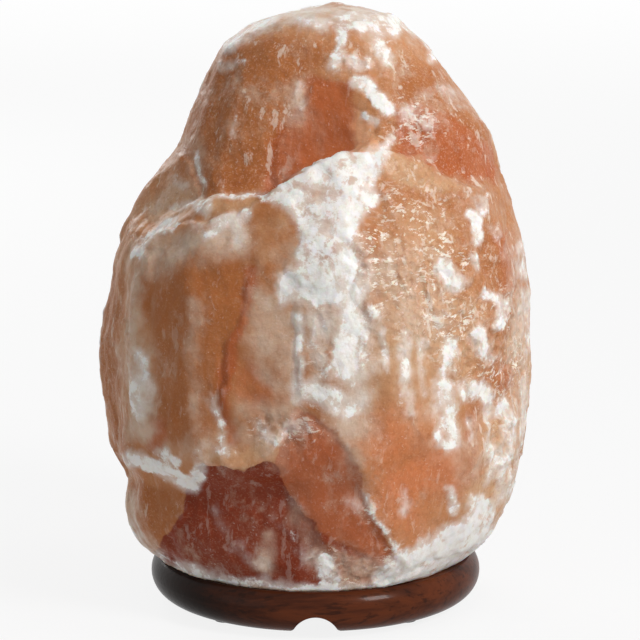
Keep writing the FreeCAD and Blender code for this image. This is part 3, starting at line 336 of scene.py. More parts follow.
# bruised white salt
PLACES["frost"] = [
    (0.7, 8, 6, [(226, 44), (244, 28), (268, 17)]),
    (0.3, 5, 5, [(268, 14), (330, 9), (400, 13)]),
    (0.7, 5, 5, [(292, 21), (326, 24)]),
    (0.75, 7, 5, [(394, 13), (416, 27), (434, 52)]),
    (0.65, 9, 6, [(340, 18), (372, 26), (394, 26)]),
    (0.7, 5, 4, [(340, 30), (340, 52), (332, 66)]),
    (0.65, 7, 5, [(378, 42), (386, 58)]),
    (0.7, 6, 4, [(352, 60), (366, 63)]),
    (1.0, 7, 4, [(357, 82), (372, 88), (386, 108)]),
    (0.9, 4, 3, [(364, 117), (374, 124)]),
    (0.6, 4, 4, [(222, 68), (244, 60)]),
    (0.5, 5, 5, [(302, 84), (295, 112)]),
    (0.45, 3, 4, [(234, 104), (233, 132)]),
    (0.75, 3, 3, [(194, 154), (196, 170), (202, 184)]),
    (0.55, 4, 4, [(174, 176), (182, 184)]),
    (0.5, 3, 3, [(219, 180), (224, 194)]),
    (0.35, 5, 5, [(420, 88), (448, 92), (470, 102)]),
    (0.5, 7, 6, [(408, 112), (428, 124)]),
    (1.0, 6, 4, [(138, 250), (150, 236), (172, 224)]),
    (0.7, 3, 3, [(170, 208), (195, 199), (225, 196), (266, 192)]),
    (0.8, 5, 4, [(196, 204), (206, 210)]),
    (0.75, 6, 5, [(205, 232), (228, 222), (246, 216)]),
    (0.6, 6, 6, [(236, 222), (238, 240)]),
    (1.0, 0, 6, [(264, 200), (300, 172), (340, 154), (382, 146), (392, 134), (386, 158), (378, 176),
        (376, 200), (360, 222), (354, 240), (362, 262), (352, 286), (332, 302), (282, 304), (276, 288),
        (296, 264), (299, 240), (292, 214)]),
    (1.15, 13, 8, [(346, 296), (356, 326), (346, 366)]),
    (0.6, 17, 14, [(344, 250), (354, 310), (356, 380)]),
    (0.75, 2.5, 3, [(508, 396), (512, 450), (506, 520)]),
    (0.65, 2.5, 3, [(490, 404), (490, 452)]),
    (0.6, 2, 3, [(522, 380), (522, 440), (516, 490)]),
    (0.6, 2.5, 3, [(470, 410), (472, 440)]),
    (0.7, 3, 3, [(384, 330), (386, 372)]),
    (0.75, 5, 4, [(298, 316), (297, 402)]),
    (0.5, 8, 6, [(320, 312), (320, 360)]),
    (1.1, 10, 7, [(304, 390), (330, 396), (350, 408)]),
    (0.65, 6, 5, [(302, 384), (330, 376)]),
    (0.6, 5, 5, [(284, 432), (306, 426)]),
    (0.55, 5, 5, [(258, 426), (272, 440)]),
    (0.7, 5, 5, [(214, 400), (222, 430), (226, 446)]),
    (0.85, 7, 8, [(138, 356), (138, 412)]),
    (1.1, 6, 5, [(128, 458), (150, 466), (176, 474), (194, 484)]),
    (0.7, 5, 5, [(128, 524), (138, 548), (154, 560)]),
    (0.5, 4, 4, [(160, 562), (200, 576), (250, 586)]),
    (0.6, 5, 4, [(250, 584), (330, 592), (420, 588)]),
    (0.8, 5, 5, [(160, 452), (178, 462)]),
    (0.8, 5, 4, [(190, 480), (202, 468)]),
    (0.5, 7, 7, [(200, 452), (230, 448)]),
    (1.0, 6, 4, [(474, 218), (478, 240)]),
    (0.8, 4, 4, [(482, 198), (484, 212)]),
    (0.5, 4, 4, [(494, 226), (502, 232)]),
    (0.95, 7, 5, [(446, 268), (456, 284)]),
    (0.6, 4, 4, [(472, 256), (478, 266)]),
    (0.85, 5, 4, [(486, 292), (504, 304), (498, 324)]),
    (0.8, 6, 5, [(522, 248), (527, 270)]),
    (0.6, 5, 5, [(527, 290), (530, 350)]),
    (0.7, 7, 6, [(480, 334), (490, 356)]),
    (0.7, 5, 5, [(404, 336), (408, 410)]),
    (0.5, 4, 4, [(424, 344), (424, 392)]),
    (0.85, 6, 5, [(452, 340), (444, 380)]),
    (1.0, 10, 7, [(444, 386), (448, 440)]),
    (0.85, 7, 6, [(466, 392), (486, 392), (496, 410)]),
    (0.7, 5, 5, [(504, 400), (512, 440)]),
    (0.6, 7, 7, [(494, 450), (498, 500)]),
    (0.8, 4, 4, [(448, 490), (456, 512)]),
    (0.45, 4, 4, [(408, 492), (404, 510)]),
    (0.6, 3, 3, [(366, 496), (372, 516), (388, 534), (398, 552)]),
    (1.2, 0, 7, [(402, 556), (436, 538), (466, 522), (474, 494), (492, 506), (492, 548), (470, 580),
        (430, 596), (392, 600), (384, 572)]),
    (0.95, 8, 5, [(176, 572), (240, 590), (300, 596), (344, 594)]),
    (1.2, 8, 4, [(326, 566), (332, 592)]),
    (1.0, 7, 4, [(380, 580), (404, 574)]),
    (0.6, 5, 4, [(344, 590), (384, 588)]),
    (0.8, 5, 4, [(128, 538), (140, 552), (162, 562)]),
    (0.4, 7, 5, [(350, 504), (352, 508)]),
    (0.4, 6, 5, [(286, 530), (292, 540)]),
    (0.3, 9, 7, [(300, 548), (322, 566)]),
    (0.35, 7, 6, [(236, 548), (262, 566)]),
    (0.3, 5, 5, [(215, 512), (222, 532)]),
]

# where the surface is crystalline: crackle bumps there, and painted glints and a painted sheen
PLACES["broken"] = [
    (0.8, 18, 12, [(404, 116), (426, 128)]),
    (0.25, 22, 16, [(440, 84), (478, 140)]),
    (0.6, 40, 26, [(420, 215), (450, 250)]),
    (0.8, 34, 24, [(420, 270), (460, 320), (490, 350)]),
    (0.7, 20, 16, [(370, 240), (380, 330)]),
    (0.45, 20, 14, [(350, 60), (390, 60)]),
    (0.8, 12, 8, [(262, 430), (304, 432)]),
    (0.8, 14, 8, [(330, 560), (380, 578)]),
    (0.5, 12, 8, [(364, 500), (396, 560)]),
    (0.5, 14, 10, [(316, 306), (318, 360)]),
    (0.5, 18, 12, [(505, 300), (508, 470)]),
]

# where fine light and dark grains are crowded
PLACES["grainy"] = [
    (0.7, 0, 12, [(205, 60), (262, 30), (340, 40), (310, 100), (270, 190), (190, 200), (140, 230),
        (120, 250), (150, 170), (190, 110)]),
    (0.8, 0, 14, [(350, 40), (420, 50), (490, 130), (530, 280), (530, 420), (500, 540), (470, 470),
        (470, 380), (400, 330), (380, 200)]),
    (0.25, 0, 8, [(205, 465), (300, 412), (340, 440), (366, 510), (400, 570), (330, 590), (190, 580),
        (160, 550)]),
    (0.6, 12, 10, [(110, 280), (106, 340), (112, 440), (150, 520)]),
    (0.25, 50, 30, [(200, 290), (190, 400)]),
    (0.4, 40, 20, [(400, 430), (410, 520)]),
]

# Ledges and edges that the photograph shows: how far (mm) the salt on the right-hand side of the line, as it
# is walked, stands out over the other side, the pixels over which that fades, and the line.
LEDGES = [
    (3.4, 18, [(150, 222), (190, 200), (215, 196), (262, 193), (300, 173), (340, 153), (380, 146)]),
    (2.6, 12, [(131, 266), (143, 246), (167, 228), (195, 222), (235, 215), (252, 205), (278, 196)]),
    (-2.4, 14, [(136, 262), (128, 300), (126, 350), (130, 400), (140, 444)]),
    (-1.8, 18, [(248, 268), (243, 310), (228, 345), (223, 390), (234, 440)]),
    (2.6, 14, [(372, 148), (417, 154), (457, 181), (494, 185)]),
    (2.0, 12, [(270, 190), (276, 140), (306, 100), (322, 76)]),
    (-3.4, 12, [(140, 466), (190, 481), (203, 464), (240, 473), (265, 463), (280, 445), (300, 411),
        (316, 412)]),
    (-2.0, 14, [(308, 408), (340, 443), (357, 465), (367, 510), (385, 540), (404, 566)]),
    (-2.0, 14, [(277, 460), (290, 497), (313, 523), (322, 552)]),
    (2.6, 14, [(192, 480), (187, 512), (162, 552)]),
    (-1.8, 10, [(296, 300), (295, 340), (296, 404)]),
    (-1.6, 10, [(372, 300), (362, 350), (356, 384)]),
    (1.6, 12, [(430, 372), (436, 420), (430, 470)]),
    (1.6, 12, [(470, 240), (500, 300), (510, 350)]),
    (-1.6, 12, [(480, 300), (470, 380), (476, 440)]),
    (2.0, 12, [(180, 150), (194, 176), (196, 198)]),
    (-1.8, 12, [(520, 380), (500, 440), (496, 500)]),
]

# The sides that the photograph doesn't show: kind, how many, and the ranges of half width, height (mm) and
# strength.
UNSEEN_PLACES = (
    ("terracotta", 9, (12, 22), (30, 70), (0.6, 1.0)),
    ("amber", 14, (6, 15), (10, 50), (0.5, 0.9)),
    ("ember", 8, (10, 20), (25, 60), (0.5, 0.9)),
    ("peach", 20, (10, 20), (20, 60), (0.5, 0.9)),
    ("cloud", 30, (4, 10), (15, 60), (0.4, 0.8)),
    ("frost", 36, (1.2, 3.4), (5, 30), (0.6, 1.0)),
    ("frost", 12, (5, 9), (8, 24), (0.7, 1.0)),
    ("brick", 4, (10, 16), (14, 26), (0.8, 1.0)),
    ("broken", 12, (8, 16), (10, 40), (0.5, 1.0)),
    ("grainy", 22, (12, 26), (20, 70), (0.5, 1.0)),
)
UNSEEN_TOPS = (26, 222)  # mm, where a streak begins
UNSEEN_LEAN = 0.35  # at most, as a share of the streak's height
UNSEEN_BEND = 0.12
UNSEEN_EDGE = 0.6  # the soft edge as a share of the half width, and 1 mm more

UNSEEN_LEDGES = 26
LEDGE_HEIGHTS = (34, 210)  # mm, where a ledge begins
LEDGE_STEEP = (60, 100)  # degrees below level, for every other ledge
LEDGE_LEVEL = (-15, 35)
LEDGE_LENGTHS = (25, 60)
LEDGE_PARTS = 4
LEDGE_TURN = 0.5  # radians at most, from part to part
LEDGE_RISES = (1.4, 3.4)
LEDGE_FADES = (4, 7)

GIRTH = 78.0  # mm, the radius at which an angle becomes a length
PIXELS_PER_MM = 2.6  # in the photograph, at the lamp
SEED = 11
FAR = 1e9  # farther than any place
TINY = 1e-9  # against a division by 0 where a line stands still

OUTER_FADE = 1.6  # how many soft edges a brush fades outwards; inwards it is one
BRUSH_REACH = 2
LEDGE_REACH = 4  # how many fades from its line a ledge ends
LEDGE_SLOPE = 2.2  # how far from its line a ledge's face rises on
LEDGE_ENDS = 0.15  # the share of its line over which each end fades


def smooth(low, high, values):
    """A smooth step from 0 at low to 1 at high."""
    share = np.clip((values - low) / (high - low), 0, 1)
    return share * share * (3 - 2 * share)


def nearest_on(places, line):
    """Each place's distance to a line, on which side it lies, and how far along the line it is (0 to 1)."""
    line = np.array(line, float)
    runs = np.linalg.norm(np.diff(line, axis=0), axis=1)
    reached = np.concatenate([[0], np.cumsum(runs)])
    away = np.full(len(places), FAR)
    side = np.zeros(len(places))
    along = np.zeros(len(places))
    for start, stop, run, begun in zip(line, line[1:], runs, reached):
        step = stop - start
        offset = places - start
        share = np.clip(offset @ step / max(run * run, TINY), 0, 1)
        gap = np.linalg.norm(offset - share[:, None] * step, axis=1)
        nearer = gap < away
        away[nearer] = gap[nearer]
        side[nearer] = np.sign(step[0] * offset[:, 1] - step[1] * offset[:, 0])[nearer]
        along[nearer] = ((begun + share * run) / reached[-1])[nearer]
    return away, side, along


def inside(places, outline):
    """Which places a closed line encloses."""
    within = np.zeros(len(places), bool)
    for (x0, y0), (x1, y1) in zip(outline, outline[1:] + outline[:1]):
        if y0 == y1:
            continue
        crosses = (y0 > places[:, 1]) != (y1 > places[:, 1])
        within ^= crosses & (places[:, 0] < x0 + (places[:, 1] - y0) / (y1 - y0) * (x1 - x0))
    return within


def within_reach(places, line, reach):
    """The places that lie in the line's box, grown by reach."""
    corners = np.array(line, float)
    low = corners.min(axis=0) - reach
    high = corners.max(axis=0) + reach
    return np.nonzero(np.all((places > low) & (places < high), axis=1))[0]


def brush(places, width, edge, line):
    """1 within the brush and 0 outside it, fading over its soft edge."""
    covered = np.zeros(len(places))
    near = within_reach(places, line, width + BRUSH_REACH * edge)
    if width:
        depth = width - nearest_on(places[near], line)[0]
    else:
        away = nearest_on(places[near], line + line[:1])[0]
        depth = np.where(inside(places[near], line), away, -away)
    covered[near] = smooth(-OUTER_FADE * edge, edge, depth)
    return covered


def ledge(places, rise, fade, line):
    """The two sides of a line, half the rise up and half down, fading away from it and at its ends."""
    height = np.zeros(len(places))
    near = within_reach(places, line, LEDGE_REACH * fade)
    away, side, along = nearest_on(places[near], line)
    ends = smooth(0, LEDGE_ENDS, along) * smooth(0, LEDGE_ENDS, 1 - along)
    height[near] = 0.5 * rise * side * smooth(0, LEDGE_SLOPE, away) * np.exp(-away / fade) * ends
    return height


def unseen_lines():
    """Random streaks for the sides that the photograph doesn't show, over (girth, height) in mm."""
    draw = np.random.default_rng(SEED)
    lines = []
    for kind, count, widths, heights, strengths in UNSEEN_PLACES:
        for _ in range(count):
            across = draw.uniform(-math.pi, math.pi) * GIRTH
            top = draw.uniform(*UNSEEN_TOPS)
            height = draw.uniform(*heights)
            lean = draw.uniform(-UNSEEN_LEAN, UNSEEN_LEAN) * height
            bend = draw.uniform(-UNSEEN_BEND, UNSEEN_BEND) * height
            middle = (across + lean / 2 + bend, top - height / 2)
            line = [(across, top), middle, (across + lean, top - height)]
            width = draw.uniform(*widths)
            lines.append((kind, draw.uniform(*strengths), width, UNSEEN_EDGE * width + 1, line))
    return lines


def unseen_ledges():
    """Random ledges for the sides that the photograph doesn't show: rise, fade and line, in mm."""
    draw = np.random.default_rng(SEED + 1)
    lines = []
    for number in range(UNSEEN_LEDGES):
        across = draw.uniform(-math.pi, math.pi) * GIRTH
        height = draw.uniform(*LEDGE_HEIGHTS)
        slope = math.radians(draw.uniform(*(LEDGE_STEEP if number % 2 else LEDGE_LEVEL)))
        part = draw.uniform(*LEDGE_LENGTHS) / LEDGE_PARTS
        line = [(across, height)]
        for _ in range(LEDGE_PARTS):
            across += part * math.cos(slope)
            height -= part * math.sin(slope)
            slope += draw.uniform(-LEDGE_TURN, LEDGE_TURN)
            line.append((across, height))
        rise = draw.uniform(*LEDGE_RISES) * draw.choice([-1, 1])
        lines.append((rise, draw.uniform(*LEDGE_FADES), line))
    return lines


# -------- noises over the block

# How the painting is broken up.  A noise is its size (mm), its octaves, which stretch of it, and its squeeze.
NORMAL_SHARE = 0.6  # a place is seen by its normal, and by its direction from the lamp's axis
OUTWARD_SHARE = 0.4
SEEN_FACINGS = (-0.10, 0.12)  # between which a place comes into sight
SEEN_RAGGED = 0.09
SEEN_NOISE = (14, 3, 21.0)
AXIS_GUARD = 1e-6  # mm, against a division by 0 on the axis
PUSHES = (  # how far (pixels), and the noise that pushes
    (4.5, 10, 3, 5.0),
    (2.0, 3, 2, 9.0),
)
CLUMPING = 0.5
CLUMP_NOISE = (7, 3, 12.0)
PATCH_STEP = (0.12, 0.5)
PATCH_NOISE = (34, 4, 7.0, 0.6)


def fractal(points, size, octaves, shift=0.0, squeeze=1.0):
    """Noise from about -1 to 1 with features of about size mm.  squeeze below 1 draws it out upright."""
    offset = Vector((shift, -shift, 2 * shift))
    scaled = points * (1 / size, 1 / size, squeeze / size)
    return np.array([noise.fractal(Vector(p) + offset, 1.0, 2.0, octaves) for p in scaled])


def facets(points, size, slope, seed):
    """Flat cleaved facets of about size mm, each tilted at random, as heights in mm."""
    draw = np.random.default_rng(seed)
    low = points.min(axis=0) - size
    high = points.max(axis=0) + size
    rows = [np.arange(start, stop, size) for start, stop in zip(low, high)]
    grid = np.stack(np.meshgrid(*rows, indexing="ij"), axis=-1)
    centres = grid.reshape(-1, 3) + draw.uniform(-0.5, 0.5, (grid.size // 3, 3)) * size
    tilts = draw.normal(size=centres.shape)
    tilts *= slope / np.linalg.norm(tilts, axis=1)[:, None]
    tree = KDTree(len(centres))
    for number, centre in enumerate(centres):
        tree.insert(centre, number)
    tree.balance()
    owner = np.array([tree.find(p)[1] for p in points])
    return ((points - centres[owner]) * tilts[owner]).sum(axis=1)


def seen_share(points, normals):
    """1 on the side that the photograph shows, 0 behind, with a ragged change between them."""
    sight = np.array([0, -CAMERA_DISTANCE, CAMERA_HEIGHT]) - points
    sight /= np.linalg.norm(sight, axis=1)[:, None]
    outward = points * (1, 1, 0)
    outward /= np.linalg.norm(outward, axis=1)[:, None] + AXIS_GUARD
    facing = ((NORMAL_SHARE * normals + OUTWARD_SHARE * outward) * sight).sum(axis=1)
    return smooth(*SEEN_FACINGS, facing + SEEN_RAGGED * fractal(points, *SEEN_NOISE))


def pushes(points):
    """How far each place is pushed before it is painted, in the photograph's pixels."""
    both = [0, 0]
    for k in (0, 1):
        for reach, size, octaves, shift in PUSHES:
            both[k] = both[k] + reach * fractal(points, size, octaves, shift + k)
    return np.stack(both, axis=1)


class Surface:
    """Where each vertex of the block lies in the photograph and on the unrolled sides."""

    def __init__(self, points, normals):
        self.seen = seen_share(points, normals)
        self.clumps = 1 + CLUMPING * fractal(points, *CLUMP_NOISE)
        self.patches = smooth(*PATCH_STEP, fractal(points, *PATCH_NOISE))
        push = pushes(points)
        self.pixels = photo_pixels(points) + push
        angles = np.arctan2(points[:, 0], points[:, 1])  # 0 behind; the seam lies in front
        self.unrolled = np.stack([angles * GIRTH, points[:, 2]], axis=1) + push / PIXELS_PER_MM

    def paint(self):
        """How much of each kind is painted on each vertex."""
        masks = {kind: np.zeros(len(self.seen)) for kind in KINDS}
        for kind, places in PLACES.items():
            for strength, width, edge, line in places:
                cover = self.seen * strength * brush(self.pixels, width, edge, line)
                masks[kind] = np.maximum(masks[kind], cover)
        for kind, strength, width, edge, line in unseen_lines():
            cover = (1 - self.seen) * strength * brush(self.unrolled, width, edge, line)
            masks[kind] = np.maximum(masks[kind], cover)
        masks["frost"] = np.maximum(masks["frost"], (1 - self.seen) * self.patches) * self.clumps
        masks["cloud"] = masks["cloud"] * self.clumps
        return masks

    def ledges(self):
        """How far the ledges raise or lower each vertex, in mm."""
        height = np.zeros(len(self.seen))
        for rise, fade, line in LEDGES:
            height += self.seen * ledge(self.pixels, rise, fade, line)
        for rise, fade, line in unseen_ledges():
            height += (1 - self.seen) * ledge(self.unrolled, rise, fade, line)
        return height


# -------- the salt block's shape

VOXEL = 1.2
BORE_RADIUS = 22.0
BORE_TOP = 120.0
ROCK_FOOT = 18.0
CROWN_LEVEL = 213.0
ANCHOR_COUNT = 3
ANCHOR_CIRCLE = 36.0  # the radius on which the anchors' holes stand
ANCHOR_RADIUS = 4.0
ANCHOR_TOP = 46.0
FOOT_MARGIN = 0.4  # how far beyond the cut surfaces the salt is left alone
BORE_MARGIN = 1.0
ANCHOR_MARGIN = 1.5
ANCHOR_TOP_MARGIN = 2.0

SOFTENING_ROUNDS = 24
FOOT_FADE = (-4, 6)  # above the foot, between which the relief sets in

# The relief.  Swells: strength (mm) and noise.  Facets: the share that whole salt has of what broken salt
# has, strength, size (mm), slope and seed.
SWELLS = (
    (0.8, 24, 2, 1.0, 0.6),
    (0.7, 10, 3, 3.0, 0.7),
)
FACETS = (
    (0.35, 0.6, 17, 0.14, 21),
    (0.20, 1.0, 6.5, 0.16, 22),
)
GRIT_SHARE = 0.25  # on whole salt
GRIT = 0.35
GRIT_NOISE = (5, 2, 2.0, 0.6)
FROST_BREAKS = 0.3  # how much frost adds to how broken the salt is, and terracotta takes away
TERRACOTTA_HEALS = 0.2
LEDGE_MEAN = 0.75  # the ledges' rise varies about this share of itself
LEDGE_VARIES = 0.6
LEDGE_NOISE = (12, 2, 4.0)
RAISED = (("frost", 0.2), ("rust", -0.9), ("brick", -0.5), ("amber", -0.3))  # mm
RELIEF_MIDDLE = 0.4  # taken off again, so that the block keeps its size

RIDGE_ROUNDS = 8
RIDGE_HEIGHTS = (0.05, 0.75)  # above the surroundings, between which a bump is worn
CROWN_FADE = 8
CROWN_SEEN = 0.85  # the share of the crown's white, frost and painted light from above, that the seen side lacks


def vertex_rows(mesh, what):
    """The vertices' places ("co", in metres) or normals ("normal"), one a row."""
    flat = np.empty(len(mesh.vertices) * 3)
    mesh.vertices.foreach_get(what, flat)
    return flat.reshape(-1, 3)


def edge_rows(mesh):
    """The two vertices of each edge, one edge a row."""
    flat = np.empty(len(mesh.edges) * 2, dtype=np.int64)
    mesh.edges.foreach_get("vertices", flat)
    return flat.reshape(-1, 2)


def place_vertices(mesh, points):
    mesh.vertices.foreach_set("co", (points * MM).ravel())
    mesh.update()


def store(mesh, name, values):
    """Keeps a value for each vertex, which the salt's shader reads."""
    layer = mesh.attributes.new(name, "FLOAT", "POINT")
    layer.data.foreach_set("value", np.asarray(values, dtype=np.float32))


def neighbour_mean(values, edges):
    """The mean of each vertex's neighbours."""
    count = np.bincount(edges.ravel(), minlength=len(values)).clip(1)
    total = np.empty_like(values)
    for axis in range(values.shape[1]):
        total[:, axis] = np.bincount(edges[:, 0], values[edges[:, 1], axis], len(values))
        total[:, axis] += np.bincount(edges[:, 1], values[edges[:, 0], axis], len(values))
    return total / count[:, None]


def soften(points, edges, free):
    """Draws each free point half way towards its neighbours' mean, round after round."""
    for _ in range(SOFTENING_ROUNDS):
        points = points + 0.5 * free[:, None] * (neighbour_mean(points, edges) - points)
    return points


def fine_mesh():
    """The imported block, remeshed finely enough to carry its relief."""
    rough = bpy.data.objects.new("rough_block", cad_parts["salt_crystal"].data.copy())
    bpy.context.scene.collection.objects.link(rough)
    remesh = rough.modifiers.new("remesh", "REMESH")
    remesh.mode = "VOXEL"
    remesh.voxel_size = VOXEL * MM
    graph = bpy.context.evaluated_depsgraph_get()
    mesh = bpy.data.meshes.new_from_object(rough.evaluated_get(graph))
    bpy.data.objects.remove(rough)
    mesh.name = "salt_block"
    return mesh


def cut_surfaces(points):
    """True on the drilled holes and the sawn foot, which stay as they are cut."""
    cut = points[:, 2] < ROCK_FOOT + FOOT_MARGIN
    radius = np.hypot(points[:, 0], points[:, 1])
    cut |= (radius < BORE_RADIUS + BORE_MARGIN) & (points[:, 2] < BORE_TOP + BORE_MARGIN)
    for k in range(ANCHOR_COUNT):
        x = ANCHOR_CIRCLE * math.sin(k * 2 * math.pi / ANCHOR_COUNT)
        y = ANCHOR_CIRCLE * math.cos(k * 2 * math.pi / ANCHOR_COUNT)
        near = np.hypot(points[:, 0] - x, points[:, 1] - y) < ANCHOR_RADIUS + ANCHOR_MARGIN
        cut |= near & (points[:, 2] < ANCHOR_TOP + ANCHOR_TOP_MARGIN)
    return cut


def relief(points, surface, masks):
    """How far each point is raised (mm): ledges, broad swells, cleaved facets and grit."""
    broken = masks["broken"] + FROST_BREAKS * masks["frost"] - TERRACOTTA_HEALS * masks["terracotta"]
    broken = np.clip(broken, 0, 1)
    height = surface.ledges() * (LEDGE_MEAN + LEDGE_VARIES * fractal(points, *LEDGE_NOISE))
    height += sum(strength * fractal(points, *swell) for strength, *swell in SWELLS)
    for least, strength, *facet in FACETS:
        height += (least + (1 - least) * broken) * strength * facets(points, *facet)
    height += (GRIT_SHARE + (1 - GRIT_SHARE) * broken) * GRIT * fractal(points, *GRIT_NOISE)
    height += sum(rise * masks[kind] for kind, rise in RAISED)
    return height - RELIEF_MIDDLE


def worn(points, normals, edges):
    """Bumps wear white: 0 to 1, by how far each point stands out over its surroundings."""
    around = points
    for _ in range(RIDGE_ROUNDS):
        around = neighbour_mean(around, edges)
    return smooth(*RIDGE_HEIGHTS, ((points - around) * normals).sum(axis=1))


def shape_salt_block(mesh):
    """Rounds the block, gives it its relief, and keeps in the mesh what its shader needs."""
    points = vertex_rows(mesh, "co") / MM
    edges = edge_rows(mesh)
    free = (~cut_surfaces(points)).astype(float)
    points = soften(points, edges, free)
    place_vertices(mesh, points)
    normals = vertex_rows(mesh, "normal")
    surface = Surface(points, normals)
    masks = surface.paint()
    foot_fade = smooth(*FOOT_FADE, points[:, 2] - ROCK_FOOT)
    points = points + normals * (relief(points, surface, masks) * free * foot_fade)[:, None]
    lowest, highest = np.array(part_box("salt_crystal")) / MM
    points = np.clip(points, lowest, highest)
    place_vertices(mesh, points)

    # the crown: the top whitens by height, part frost and part painted light from above
    crown = smooth(-CROWN_FADE, CROWN_FADE, points[:, 2] - CROWN_LEVEL)
    masks["ridge"] = worn(points, vertex_rows(mesh, "normal"), edges) * free
    masks["crown"] = crown * (1 - CROWN_SEEN * surface.seen)
    masks["cut"] = 1 - free
    for name, values in masks.items():
        store(mesh, name, values)


def make_salt_block():
    """The block that is seen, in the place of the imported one."""
    mesh = fine_mesh()
    shape_salt_block(mesh)
    mesh.polygons.foreach_set("use_smooth", [True] * len(mesh.polygons))
    mesh.materials.clear()
    mesh.materials.append(salt_material().material)

    block = bpy.data.objects.new("salt_block", mesh)
    bpy.context.scene.collection.objects.link(block)
    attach(block, "lamp")
    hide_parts("salt_crystal")


# -------- the salt's material

SALMON_DEEP = (0.45, 0.170, 0.062)
SALMON_LIGHT = (0.56, 0.255, 0.115)
# white flecks and scratches, and the painted glints of broken salt
FLECK_AND_GLINT_WHITE = (0.95, 0.87, 0.76)
# light dust, and the painted sheen of broken salt
DUST_AND_SHEEN_GOLD = (0.74, 0.43, 0.28)
FROST_SHADE = (0.83, 0.780, 0.715)
SPOT_BROWN = (0.30, 0.085, 0.040)
SALT_SCATTER = (1.0, 0.42, 0.22)  # how far red, green and blue light goes within the salt
DENT_DEPTH = 0.0010  # m
CRACKLE_DEPTH = 0.0012
FLECK_HEIGHT = 0.0004

# The salt's noises: scale (1 / m), detail, roughness, and for those over the warped place how squeezed.
PLAIN_NOISES = {
    "broad": (26, 3, 0.5),
    "cloudy": (70, 6, 0.66),
    "dents": (150, 7, 0.60),
    "spots": (560, 3, 0.6),
    "flecks": (760, 3, 0.6),
    "dust": (1250, 2, 0.5),
}
WARPED_NOISES = {
    "wisps": (48, 8, 0.72, None),
    "swarms": (62, 4, 0.6, None),
    "sheen": (95, 6, 0.7, None),
    "streaks": (120, 6, 0.65, (1, 1, 0.16)),
    "fine": (190, 8, 0.72, None),
    "scratches": (240, 5, 0.66, (1.0, 1.0, 0.30)),
    "dashes": (280, 6, 0.70, (0.75, 0.75, 1.3)),
    "splinters": (520, 5, 0.65, (0.6, 0.6, 1.4)),
}
WARP_SCALE = 40
WARP_REACH = 0.010
CRACKLE_SCALE = 310

# The painted salts, from the bottom up: the noise that breaks up the edge, its spread, and the edge's step.
SALT_LAYERS = (
    ("terracotta", "cloudy", 1.2, 0.1, 0.9),
    ("peach", "cloudy", 1.2, 0.0, 0.9),
    ("apricot", "cloudy", 0.6, 0.1, 0.9),
    ("amber", "cloudy", 1.4, 0.1, 0.9),
    ("ember", "cloudy", 1.0, 0.0, 1.0),
    ("brick", "fine", 0.5, 0.3, 0.7),
    ("rust", "fine", 0.5, 0.3, 0.7),
    ("cloud", "cloudy", 1.2, 0.0, 1.1),
)
LAYER_STRENGTH = 0.9

# What adds to the bruised white: worn bumps, the crown (frost, and painted light falling on the top) and
# broken salt, each with its weight.
BRUISES = (("ridge", 0.30), ("crown", 0.75), ("broken", 0.12))


